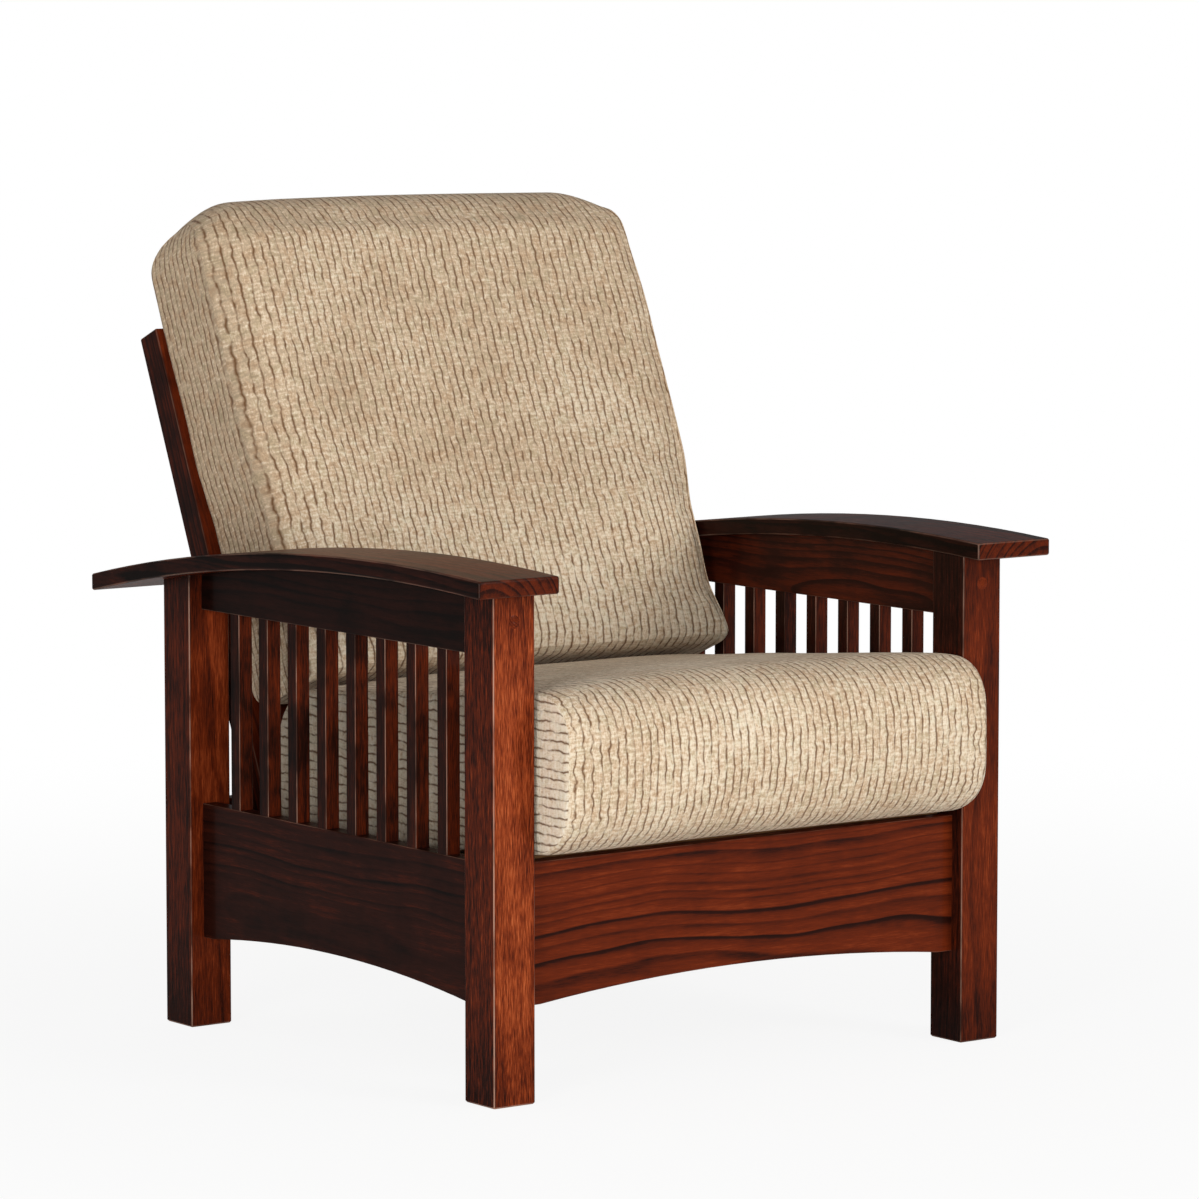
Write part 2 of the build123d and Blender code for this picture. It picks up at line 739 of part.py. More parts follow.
# Back cushion: wrapped round top, rounded upper corners, crowned front, flat against the stiles.
# Its front lower corner stands over the seat cushion's top, wherever that is.
back_half = arm_inner_x - (back_cushion_left_gap + back_cushion_right_gap) / 2
back_cushion_shift = (back_cushion_left_gap - back_cushion_right_gap) / 2
back_front = stile_half_depth + cushion_gap + back_cushion_thickness + back_crown / 2
corner_height = deck_height(pivot_y + back_front * lean_out[0]) + seat_cushion_thickness + back_cushion_lift
back_cushion_rise = (corner_height - pivot_height - back_front * lean_out[1]) / (
    lean_up[1] + deck_slope * lean_up[0]
)
back_edge_shares = (0, 0.1, 0.4, 1, 1.9, 3.2, 5)
back_middle_shares = (0.6, 0.4, 0.2)
with BuildPart() as back_cushion:
    for x in cushion_stations(back_half, back_edge_run, back_edge_shares, back_middle_shares):
        side_distance = back_half - abs(x)
        inset = back_edge_inset * round_share(side_distance, back_edge_run)
        fullness = 1 - (x / back_half) ** 2
        top_drop = back_corner_radius * round_share(side_distance, back_corner_radius)
        low_rise = back_low_corner_radius * round_share(side_distance, back_low_corner_radius)
        rear = stile_half_depth + cushion_gap + inset
        front = stile_half_depth + cushion_gap + back_cushion_thickness - inset + back_crown * fullness / 2
        low = back_cushion_rise + low_rise
        high = back_cushion_rise + back_cushion_length - top_drop
        top_radius = (front - rear) * back_top_radius_share
        bulge = cushion_gap + back_crown * fullness / 2
        with BuildSketch(back_side_view(back_cushion_shift + x)) as section:
            with BuildLine():
                Polyline((front, high), (rear, high), (rear, low), (front, low))
                ThreePointArc((front, low), (front + bulge, (low + high) / 2), (front, high))
            make_face()
            fillet(corner_nearest(section, front, high), top_radius)
            fillet(corner_nearest(section, rear, high), top_radius)
            fillet(corner_nearest(section, front, low), back_low_edge_radius)
            fillet(corner_nearest(section, rear, low), back_low_rear_radius)
    loft(ruled=True)
finish(back_cushion, "back_cushion")
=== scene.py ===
"""Mission reclining armchair: cushions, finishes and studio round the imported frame.

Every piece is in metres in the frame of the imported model: the chair faces -Y, +X is to the right as
seen from the front, +Z is up, and the origin is on the floor under its middle. The classes hold
their sizes in millimetres, except the studio, which holds metres.
"""

import json
import logging
import math
from dataclasses import dataclass
from enum import Enum
from typing import Sequence

import bmesh
import bpy
from mathutils import Matrix, Vector, noise

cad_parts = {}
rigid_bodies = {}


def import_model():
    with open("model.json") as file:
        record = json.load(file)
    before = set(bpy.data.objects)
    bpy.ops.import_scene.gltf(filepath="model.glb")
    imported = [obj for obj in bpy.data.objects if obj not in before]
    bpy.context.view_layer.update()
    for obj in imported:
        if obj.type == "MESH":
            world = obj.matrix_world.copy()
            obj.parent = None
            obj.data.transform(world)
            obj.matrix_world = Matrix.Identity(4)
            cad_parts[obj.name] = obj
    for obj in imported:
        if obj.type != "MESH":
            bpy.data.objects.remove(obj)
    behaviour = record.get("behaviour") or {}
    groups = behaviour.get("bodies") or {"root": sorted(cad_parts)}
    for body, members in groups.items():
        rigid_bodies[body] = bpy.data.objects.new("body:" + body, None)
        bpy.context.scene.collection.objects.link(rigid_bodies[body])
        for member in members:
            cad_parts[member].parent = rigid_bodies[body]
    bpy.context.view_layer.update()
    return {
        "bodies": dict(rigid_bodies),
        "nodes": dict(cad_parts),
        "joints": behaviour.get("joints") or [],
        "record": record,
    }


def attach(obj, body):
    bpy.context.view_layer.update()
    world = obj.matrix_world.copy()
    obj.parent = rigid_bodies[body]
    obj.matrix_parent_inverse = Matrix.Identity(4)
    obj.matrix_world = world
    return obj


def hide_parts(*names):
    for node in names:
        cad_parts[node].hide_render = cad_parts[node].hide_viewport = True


LOG = logging.getLogger("armchair")
MM = 0.001
Point = tuple[float, float]
Place = tuple[float, float, float]
Colour = tuple[float, float, float, float]
Tree = bpy.types.NodeTree
Node = bpy.types.Node
Socket = bpy.types.NodeSocket
Wire = Node | Socket


def linear(hex_colour: str) -> Colour:
    """Turn an sRGB hex colour into the linear colour that shaders take.

    Args:
        hex_colour: six hex digits, such as "8A3F22".

    Returns:
        The linear red, green, blue and an alpha of 1.
    """
    shares = [int(hex_colour[i : i + 2], 16) / 255 for i in (0, 2, 4)]
    return (*[c / 12.92 if c <= 0.04045 else ((c + 0.055) / 1.055) ** 2.4 for c in shares], 1.0)


def grey(value: float) -> Colour:
    """A grey for a ramp that carries a number."""
    return (value, value, value, 1.0)


def add_node(tree: Tree, kind: str, inputs: dict | None = None, **settings: object) -> Node:
    """Add a shader node with its settings, values and links.

    Args:
        tree: the material's or world's node tree.
        kind: Blender's name for the node, after "ShaderNode".
        inputs: input socket, by name or number, to its value or to what feeds it, which is a
            socket, or a node whose first output does.
        **settings: the node's own properties; "stops" fills a colour ramp with (place, colour) pairs.

    Returns:
        The new node.
    """
    node = tree.nodes.new(f"ShaderNode{kind}")
    stops = settings.pop("stops", None)
    for name, value in settings.items():
        setattr(node, name, value)
    if stops:
        elements = node.color_ramp.elements
        while len(elements) < len(stops):
            elements.new(1.0)
        for element, (place, colour) in zip(elements, stops):
            element.position, element.color = place, colour
    for socket, value in (inputs or {}).items():
        if isinstance(value, Node):
            value = value.outputs[0]
        if isinstance(value, Socket):
            tree.links.new(value, node.inputs[socket])
        else:
            node.inputs[socket].default_value = value
    return node


def new_material(name: str) -> tuple[bpy.types.Material, Tree]:
    """Make a material without nodes.

    Args:
        name: the material's name.

    Returns:
        The material and its node tree.
    """
    material = bpy.data.materials.new(name)
    material.use_nodes = True
    material.node_tree.nodes.clear()
    return material, material.node_tree


def mottling(tree: Tree, place: Wire, size: Sequence[float], detail: float, roughness: float) -> Node:
    """Uneven mottling whose spots have a real size.

    Args:
        tree: the node tree.
        place: what gives each point's place, in metres.
        size: how long one spot is along X, Y and Z, in millimetres. The last one serves for the rest.
        detail: how many finer layers it has.
        roughness: how strong those layers are.

    Returns:
        The noise, which gives a number and a colour.
    """
    scale = [1 / (side * MM) for side in size]
    scale += scale[-1:] * (3 - len(scale))
    sized = add_node(tree, "Mapping", {"Vector": place, "Scale": scale})
    look = {"Vector": sized, "Scale": 1.0, "Detail": detail, "Roughness": roughness}
    return add_node(tree, "TexNoise", look)


def added_up(tree: Tree, start: float | Node, *patterns: tuple[Wire, float]) -> Node:
    """Add patterns to a number, each with its own weight.

    Args:
        tree: the node tree.
        start: the number or pattern that the others are added to.
        *patterns: each pattern with its weight.

    Returns:
        The node that gives their sum.
    """
    total = start
    for pattern, weight in patterns:
        total = add_node(tree, "Math", {0: pattern, 1: weight, 2: total}, operation="MULTIPLY_ADD")
    return total


class Grain(Enum):
    """Which way a board's grain runs, and which way its wide face looks."""

    UPRIGHT = ((0, 0, 1), (0, -1, 0))
    UPRIGHT_SIDEWAYS = ((0, 0, 1), (1, 0, 0))
    ACROSS = ((1, 0, 0), (0, -1, 0))
    FORE_AND_AFT = ((0, 1, 0), (1, 0, 0))
    FLAT_FORE_AND_AFT = ((0, 1, 0), (0, 0, 1))
    FLAT_ACROSS = ((1, 0, 0), (0, 0, 1))
    LEANING = ((0, 0.3955, 0.9184), (0, -0.9184, 0.3955))
    LEANING_ACROSS = ((1, 0, 0), (0, -0.9184, 0.3955))


@dataclass(frozen=True)
class Board:
    """How one board was sawn and how it took its stain.

    middle is the board's middle, and heart is the place of the log's middle line across the board
    and out of its face from there. pitch is one year's growth. tone runs from 0, nearly black, to
    1, orange. The field after it darkens the faces that look sideways, partly for a darker stain and
    partly as painted shade for the light and gloss they miss, and end_tone is how much darker the
    ends of a leg came out. flecks and rings are how strongly the pores and the late wood show, and
    blotches how uneven the stain is. The last field is how strongly a painted highlight lightens the
    eased edges.
    """

    grain: Grain
    middle: Place
    heart: Point
    pitch: float = 8.0
    tone: float = 0.5
    side_stain_and_shade: float = 0.0
    flecks: float = 0.2
    rings: float = 0.4
    blotches: float = 0.15
    end_tone: float = 0.0
    edge_highlight: float = 0.22

    def log(self) -> tuple[Vector, Vector]:
        """Place and turn of the log: own X along the grain, Y across the board, Z out of its face.

        Returns:
            The log's origin in metres and its Euler turn.
        """
        along, out = (Vector(way).normalized() for way in self.grain.value)
        turn = Matrix((along, out.cross(along), out)).transposed()
        place = (Vector(self.middle) + turn @ Vector((0, *self.heart))) * MM
        return place, Vector(turn.to_euler())


@dataclass(frozen=True)
class StainedOak:
    """Red oak, flat-sawn, under a dark red-brown stain and a satin lacquer.

    The stain sinks into the open pores and the late wood of each year, so the eye sees long dark
    lines, arched on the aprons, and short dark streaks on an orange-brown ground. The lacquer
    gives a soft gloss. A painted highlight lightens the eased edges towards a pale pink, standing in
    for the light they catch, and painted shade darkens the faces that look sideways, besides a
    darker stain there.
    Pores are really about 0.3 mm wide and are drawn 1.1 mm wide so that they show.

    pore, streak, patch and bend are lengths along and across the grain. sway is how far the log
    wanders across and out, uneven how long a run of narrow or wide years is, and outer_run where
    in the log the dark lines weaken to outer_rings. end_run is how far from a leg's middle its ends
    begin to darken and are fully dark, and pore_depth is how deep the surface sinks in a pore.
    """

    pore: Point = (18.0, 1.1)
    streak: Point = (90.0, 7.0)
    streaked: float = 0.26
    patch: float = 90.91
    bend: Point = (333.3, 142.9)
    sway: Point = (26.0, 30.0)
    taper: float = 0.05
    uneven: float = 26.32
    uneven_years: float = 2.4
    outer_run: Point = (135.0, 165.0)
    outer_rings: float = 0.62
    end_run: Point = (170.0, 270.0)
    pore_depth: float = 0.25
    pit: str = "0C0504"
    late: str = "2A100A"
    body: str = "62230D"
    early: str = "96421F"
    ray: str = "C66C3C"
    # Pale pink of the painted highlight on the eased edges, standing in for the light they catch
    edge: str = "C69A84"
    lacquer: str = "E8B594"
    specular: float = 0.04
    roughness: float = 0.36
    coat: float = 0.09
    coat_roughness: float = 0.14

    def material(self, name: str, board: Board) -> bpy.types.Material:
        """Make the oak of one board.

        Args:
            name: the board's name, used in the material's name.
            board: how the board was sawn and stained.

        Returns:
            The material.
        """
        material, tree = new_material(f"stained_oak_{name}")
        place, turn = board.log()
        coordinates = add_node(tree, "TexCoord").outputs
        log = add_node(
            tree, "Mapping", {"Vector": coordinates["Object"], "Location": place, "Rotation": turn},
            vector_type="TEXTURE",
        )
        ring = self._late_wood(tree, log, board)
        pores = mottling(tree, log, self.pore, 3.0, 0.65)
        streaks = mottling(tree, log, self.streak, 2.0, 0.5)
        patches = mottling(tree, coordinates["Object"], (self.patch,), 3.0, 0.6)

        # Stain: each pattern makes it lighter or darker; the faces that look sideways also take painted
        # shade
        blotch = add_node(
            tree, "ValToRGB", {"Fac": patches},
            stops=[(0.33, grey(board.blotches)), (0.5, grey(0.0)), (0.72, grey(-0.3 * board.blotches))],
        )
        # Painted shade, besides a darker stain: faces that look along X are darkened for the light and gloss
        # they miss
        sideways = add_node(tree, "SeparateXYZ", {0: coordinates["Normal"]})
        sideways = add_node(tree, "Math", {0: sideways}, operation="ABSOLUTE")
        tone = added_up(
            tree, board.tone - self.streaked / 2 - 0.95 * board.flecks,
            (streaks, self.streaked), (pores, 1.9 * board.flecks), (ring, -board.rings), (blotch, -1.0),
            (sideways, -board.side_stain_and_shade), (self._dark_ends(tree, log, patches), -board.end_tone),
        )
        colour = add_node(
            tree, "ValToRGB", {"Fac": tone},
            stops=[
                (0.0, linear(self.pit)), (0.24, linear(self.late)), (0.5, linear(self.body)),
                (0.74, linear(self.early)), (1.0, linear(self.ray)),
            ],
        )
        # Painted highlight: the eased edges are mixed towards a pale pink, standing in for the light they
        # catch
        highlit_edges = self._lit_edge_mask(tree, coordinates["Normal"], turn, patches)
        highlit_edges = add_node(tree, "Math", {0: highlit_edges, 1: board.edge_highlight}, operation="MULTIPLY")
        shades = {"Factor": highlit_edges, 6: colour, 7: linear(self.edge)}
        edge_highlight = add_node(tree, "Mix", shades, data_type="RGBA")

        # Lacquer: it sinks a little into the pores and the late wood, and is duller in them
        rough = add_node(
            tree, "MapRange",
            {"Value": pores, "From Min": 0.3, "From Max": 0.7,
             "To Min": self.roughness + 0.08, "To Max": self.roughness - 0.04},
        )
        height = added_up(tree, pores, (ring, -0.3))
        bump = add_node(tree, "Bump", {"Height": height, "Strength": 0.16, "Distance": self.pore_depth * MM})
        surface = add_node(tree, "BsdfPrincipled", {
            "Base Color": edge_highlight.outputs[2], "Roughness": rough, "Normal": bump, "IOR": 1.5,
            "Specular IOR Level": self.specular, "Specular Tint": linear(self.lacquer),
            "Coat Weight": self.coat, "Coat Roughness": self.coat_roughness,
        })
        add_node(tree, "OutputMaterial", {"Surface": surface})
        return material

    def _late_wood(self, tree: Tree, log: Node, board: Board) -> Node:
        """Dark late wood of each year, round the heart of a slightly tapered and wavy log.

        Args:
            tree: the node tree.
            log: places in the log's frame.
            board: how the board was sawn.

        Returns:
            A node that gives 0 in pale wood and up to 1 in the darkest line.
        """
        waves = mottling(tree, log, self.bend, 2.0, 0.4).outputs["Color"]
        shift = add_node(tree, "VectorMath", {0: waves, 1: (0.5, 0.5, 0.5)}, operation="SUBTRACT")
        sway = (0.0, *(far * MM for far in self.sway))
        bent = add_node(tree, "VectorMath", {0: shift, 1: sway, 2: log}, operation="MULTIPLY_ADD")
        flat = add_node(tree, "VectorMath", {0: bent, 1: (self.taper, 1.0, 1.0)}, operation="MULTIPLY")
        radius = add_node(tree, "VectorMath", {0: flat}, operation="LENGTH").outputs["Value"]
        growth = {"W": radius, "Scale": 1 / (self.uneven * MM)}
        uneven = add_node(tree, "TexNoise", growth, noise_dimensions="1D")
        years = add_node(tree, "Math", {0: radius, 1: board.pitch * MM}, operation="DIVIDE")
        years = added_up(tree, years, (uneven, self.uneven_years))
        year = add_node(tree, "Math", {0: years}, operation="FLOOR")
        season = add_node(tree, "Math", {0: years}, operation="FRACT")
        line = add_node(
            tree, "ValToRGB", {"Fac": season},
            stops=[
                (0.0, grey(0.0)), (0.3, grey(0.03)), (0.6, grey(0.3)), (0.78, grey(0.9)), (0.9, grey(1.0)),
                (1.0, grey(0.0)),
            ],
        )

        # A few years are much darker than the rest, and the outer years are paler
        vigour = add_node(tree, "TexWhiteNoise", {"W": year}, noise_dimensions="1D")
        vigour = add_node(tree, "Math", {0: vigour, 1: 2.5}, operation="POWER")
        strength = added_up(tree, 0.34, (vigour, 0.66))
        start, end = (place * MM for place in self.outer_run)
        inner = add_node(
            tree, "MapRange",
            {"Value": radius, "From Min": start, "From Max": end, "To Min": 1.0, "To Max": self.outer_rings},
        )
        strength = add_node(tree, "Math", {0: strength, 1: inner}, operation="MULTIPLY")
        return add_node(tree, "Math", {0: line, 1: strength}, operation="MULTIPLY")

    def _dark_ends(self, tree: Tree, log: Node, patches: Node) -> Node:
        """Patchy darkening towards both ends of a leg, from handling and from end grain.

        Args:
            tree: the node tree.
            log: places in the log's frame.
            patches: slow noise that breaks it up.

        Returns:
            The node that gives it.
        """
        along = add_node(tree, "SeparateXYZ", {0: log})
        away = add_node(tree, "Math", {0: along}, operation="ABSOLUTE")
        start, end = (place * MM for place in self.end_run)
        near_end = add_node(
            tree, "MapRange", {"Value": away, "From Min": start, "From Max": end, "To Max": 2.0}
        )
        return add_node(tree, "Math", {0: near_end, 1: patches}, operation="MULTIPLY")

    def _lit_edge_mask(self, tree: Tree, normal: Socket, turn: Vector, patches: Node) -> Node:
        """Painted highlight on the eased edges, which look along none of the board's own ways.

        Args:
            tree: the node tree.
            normal: the surface's own direction.
            turn: the board's turn.
            patches: slow noise that breaks the painted highlight up.

        Returns:
            The node that gives the painted highlight.
        """
        facing = add_node(tree, "Mapping", {"Vector": normal, "Rotation": turn}, vector_type="TEXTURE")
        most = 0.0
        for way in add_node(tree, "SeparateXYZ", {0: facing}).outputs:
            along = add_node(tree, "Math", {0: way}, operation="ABSOLUTE")
            most = add_node(tree, "Math", {0: most, 1: along}, operation="MAXIMUM")
        eased = add_node(tree, "MapRange", {"Value": most, "From Min": 0.95, "From Max": 0.8})
        broken = add_node(
            tree, "MapRange", {"Value": patches, "From Min": 0.4, "From Max": 0.58, "To Min": 0.12}
        )
        return add_node(tree, "Math", {0: eased, 1: broken}, operation="MULTIPLY")


@dataclass(frozen=True)
class InnerWood(StainedOak):
    """Planed poplar under the seat with only a thin wash of stain: dull, straight-grained and pale brown."""

    pore: Point = (30.0, 1.2)
    pit: str = "3A281B"
    late: str = "5E4029"
    body: str = "8A6443"
    early: str = "A8815A"
    ray: str = "C2A27A"
    # Colour of the painted highlight on the eased edges
    edge: str = "B39470"
    roughness: float = 0.6
    coat: float = 0.0


@dataclass(frozen=True)
class RibbedChenille:
    """Wide-ribbed cotton chenille in cream and tan, with a little pink and grey-green yarn.

    The eye sees soft cords about 11 mm wide with thin, broken, wandering brown grooves between
    them, over a fuzzy pile mottled cord by cord. The pattern runs on the UV map, which holds
    metres across and along the cords, and the sizes of its spots are across and along them too.

    Cords wander by wander, which rises to gather over the distances from the seam in seam_run.
    brown is how much browner the whole cover is. The three fields after it paint light and shade:
    painted shade that browns the cover where it turns away from the front, painted light that pales
    it down the heights in low_run, and painted light that pales its end panels.
    """

    cord_width: float = 10.6
    seam: float = 300.0
    seam_run: Point = (75.0, 10.0)
    wander: float = 7.5
    gather: float = 17.0
    wave: Point = (29.41, 19.23)
    breaks: Point = (12.5, 23.81)
    fuzz: Point = (1.786, 5.882)
    tufts: Point = (9.524, 3.448)
    yarns: Point = (13.33, 18.18)
    brushed: float = 111.1
    pile_depth: float = 1.5
    low_run: Point = (660.0, 420.0)
    hue_share: float = 0.36
    brown: float = 0.0
    turned_away_shade: float = 0.0
    low: float = 0.0
    end_panel_light: float = 0.0
    groove: str = "6E4C2E"
    shade: str = "8F7252"
    tan: str = "BC9C7A"
    moss: str = "CABFA2"
    pink: str = "CFB598"
    cream: str = "E3D2B8"
    light: str = "F4EADA"

    def material(self, name: str) -> bpy.types.Material:
        """Make the cover of one cushion.

        Args:
            name: the cushion's name, used in the material's name.

        Returns:
            The material.
        """
        material, tree = new_material(f"ribbed_chenille_{name}")
        coordinates = add_node(tree, "TexCoord").outputs
        weave = coordinates["UV"]
        cord_place = self._across_cord(tree, weave)
        groove = self._grooves(tree, weave, cord_place)
        fuzz = mottling(tree, weave, self.fuzz, 2.0, 0.7)
        tufts = mottling(tree, weave, self.tufts, 2.0, 0.55)
        brushed = mottling(tree, coordinates["Object"], (self.brushed,), 2.0, 0.5)

        # Pile: fine fuzz, tufts and slow brushed patches, with painted shade where the cover turns away
        # from the front, and painted light lower down and on its end panels
        facing = add_node(tree, "SeparateXYZ", {0: coordinates["Normal"]}).outputs
        height = add_node(tree, "SeparateXYZ", {0: coordinates["Object"]}).outputs[2]
        sideways = add_node(tree, "Math", {0: facing[0]}, operation="ABSOLUTE")
        # Painted shade: the cover is browned where it turns away from the front
        turned_away = add_node(tree, "MapRange", {"Value": facing[1], "From Min": -0.85, "From Max": -0.35})
        start, end = (place * MM for place in self.low_run)
        # Painted light: the cover is paled lower down, against the shade that the seat and arms cast there
        painted_low_light = add_node(tree, "MapRange", {"Value": height, "From Min": start, "From Max": end})
        # Painted light: the end panels, which look sideways, are paled
        lit_end_panels = add_node(tree, "MapRange", {"Value": sideways, "From Min": 0.5, "From Max": 0.9})
        draw = added_up(
            tree, -0.9 - self.brown, (fuzz, 1.1), (tufts, 1.1), (brushed, 0.42),
            (turned_away, -self.turned_away_shade), (painted_low_light, self.low), (lit_end_panels, self.end_panel_light),
        )
        pile = add_node(
            tree, "ValToRGB", {"Fac": draw},
            stops=[
                (0.05, linear(self.shade)), (0.32, linear(self.tan)), (0.55, linear(self.cream)),
                (0.9, linear(self.light)),
            ],
        )
        hue = add_node(
            tree, "ValToRGB", {"Fac": mottling(tree, weave, self.yarns, 2.0, 0.5)},
            stops=[(0.36, linear(self.moss)), (0.5, linear(self.cream)), (0.62, linear(self.pink))],
        )
        tinted = add_node(tree, "Mix", {"Factor": self.hue_share, 6: pile, 7: hue}, data_type="RGBA")
        shades = {"Factor": groove, 6: tinted.outputs[2], 7: linear(self.groove)}
        colour = add_node(tree, "Mix", shades, data_type="RGBA")

        # Cords stand up round between the grooves, under the tufts and the fuzz
        crown = add_node(tree, "Math", {0: cord_place, 1: math.pi}, operation="MULTIPLY")
        crown = add_node(tree, "Math", {0: crown}, operation="SINE")
        crown = add_node(tree, "Math", {0: crown, 1: 0.45}, operation="POWER")
        relief = added_up(tree, crown, (tufts, 1.1), (fuzz, 0.5))
        bump = add_node(tree, "Bump", {"Height": relief, "Strength": 0.7, "Distance": self.pile_depth * MM})
        surface = add_node(tree, "BsdfPrincipled", {
            "Base Color": colour.outputs[2], "Normal": bump, "Roughness": 0.92, "Specular IOR Level": 0.2,
            "Sheen Weight": 0.08, "Sheen Roughness": 0.5,
        })
        add_node(tree, "OutputMaterial", {"Surface": surface})
        return material

    def _across_cord(self, tree: Tree, weave: Socket) -> Node:
        """Place across each cord, from 0 to 1. Cords wander across their run, more so beside a seam.

        Args:
            tree: the node tree.
            weave: places on the cloth, in metres.

        Returns:
            The node that gives it.
        """
        across = add_node(tree, "SeparateXYZ", {0: weave})
        from_middle = add_node(tree, "Math", {0: across}, operation="ABSOLUTE")
        start, end = ((self.seam - run) * MM for run in self.seam_run)
        wander = add_node(
            tree, "MapRange",
            {"Value": from_middle, "From Min": start, "From Max": end,
             "To Min": self.wander * MM, "To Max": self.gather * MM},
        )
        wave = mottling(tree, weave, self.wave, 2.0, 0.5)
        moved = add_node(tree, "Math", {0: wave, 1: wander, 2: across}, operation="MULTIPLY_ADD")
        cords = add_node(tree, "Math", {0: moved, 1: self.cord_width * MM}, operation="DIVIDE")
        return add_node(tree, "Math", {0: cords}, operation="FRACT")

    def _grooves(self, tree: Tree, weave: Socket, cord_place: Node) -> Node:
        """Grooves between the cords, broken where the pile of two cords leans together.

        Args:
            tree: the node tree.
            weave: places on the cloth, in metres.
            cord_place: place across each cord.

        Returns:
            The node that gives 1 in an open groove and 0 on the cords.
        """
        rest = add_node(tree, "Math", {0: 1.0, 1: cord_place}, operation="SUBTRACT")
        edge = add_node(tree, "Math", {0: cord_place, 1: rest}, operation="MINIMUM")
        breaks = mottling(tree, weave, self.breaks, 2.0, 0.6)
        open_share = add_node(tree, "MapRange", {"Value": breaks, "From Min": 0.34, "From Max": 0.54})
        outer = added_up(tree, 0.07, (open_share, 0.12))
        inner = add_node(tree, "Math", {0: outer, 1: 0.12}, operation="MULTIPLY")
        groove = add_node(
            tree, "MapRange",
            {"Value": edge, "From Min": inner, "From Max": outer, "To Min": 1.0, "To Max": 0.0},
        )
        depth = added_up(tree, 0.16, (open_share, 0.8))
        return add_node(tree, "Math", {0: groove, 1: depth}, operation="MULTIPLY")


@dataclass(frozen=True)
class JuteWebbing:
    """Coarse plain-woven jute strap: a dull brown basket weave with hairy, uneven threads."""

    thread: float = 2.4
    hair: float = 1.429
    thread_depth: float = 0.8
    dark: str = "4A3825"
    mid: str = "7A6041"
    light: str = "A38660"

    def material(self, name: str) -> bpy.types.Material:
        """Make the webbing.

        Args:
            name: used in the material's name.

        Returns:
            The material.
        """
        material, tree = new_material(f"jute_webbing_{name}")
        place = add_node(tree, "TexCoord").outputs["Object"]
        waves = []
        for side in add_node(tree, "SeparateXYZ", {0: place}).outputs[:2]:
            turns = add_node(tree, "Math", {0: side, 1: math.pi / (self.thread * MM)}, operation="MULTIPLY")
            waves.append(add_node(tree, "Math", {0: turns}, operation="SINE"))
        basket = add_node(tree, "Math", dict(enumerate(waves)), operation="MULTIPLY")
        tone = added_up(tree, 0.3, (basket, 0.3), (mottling(tree, place, (self.hair,), 2.0, 0.7), 0.5))
        colour = add_node(
            tree, "ValToRGB", {"Fac": tone},
            stops=[(0.15, linear(self.dark)), (0.5, linear(self.mid)), (0.9, linear(self.light))],
        )
        bump = add_node(tree, "Bump", {"Height": tone, "Strength": 0.7, "Distance": self.thread_depth * MM})
        surface = add_node(tree, "BsdfPrincipled", {"Base Color": colour, "Normal": bump, "Roughness": 0.9})
        add_node(tree, "OutputMaterial", {"Surface": surface})
        return material


@dataclass(frozen=True)
class ZincSteel:
    """Bright zinc-plated steel of bolts, washers and screws: pale grey, faintly mottled, softly glossy."""

    spangle: float = 2.381
    light: str = "C9C9C4"
    dark: str = "8E9094"

    def material(self, name: str) -> bpy.types.Material:
        """Make the plated steel.

        Args:
            name: used in the material's name.

        Returns:
            The material.
        """
        material, tree = new_material(f"zinc_plated_steel_{name}")
        spangle = mottling(tree, add_node(tree, "TexCoord").outputs["Object"], (self.spangle,), 2.0, 0.6)
        stops = [(0.3, linear(self.dark)), (0.7, linear(self.light))]
        colour = add_node(tree, "ValToRGB", {"Fac": spangle}, stops=stops)
        rough = add_node(tree, "MapRange", {"Value": spangle, "To Min": 0.24, "To Max": 0.46})
        metal = {"Base Color": colour, "Roughness": rough, "Metallic": 1.0}
        surface = add_node(tree, "BsdfPrincipled", metal)
        add_node(tree, "OutputMaterial", {"Surface": surface})
        return material


def dress(nodes: dict[str, bpy.types.Object], names: Sequence[str], material: bpy.types.Material) -> None:
    """Give carried-over nodes a finish, whole.

    Args:
        nodes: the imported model's nodes.
        names: the nodes to dress.
        material: the finish.
    """
    for name in names:
        data = nodes[name].data
        data.materials.clear()
        data.materials.append(material)
        LOG.info("dressed %s with %s", name, material.name)


def dress_boards(nodes: dict[str, bpy.types.Object], oak: StainedOak, boards: dict[str, Board]) -> None:
    """Give each node the wood of its own board.

    Args:
        nodes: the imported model's nodes.
        oak: the wood and its finish.
        boards: how each node's board was sawn and stained.
    """
    for name, board in boards.items():
        dress(nodes, [name], oak.material(name, board))


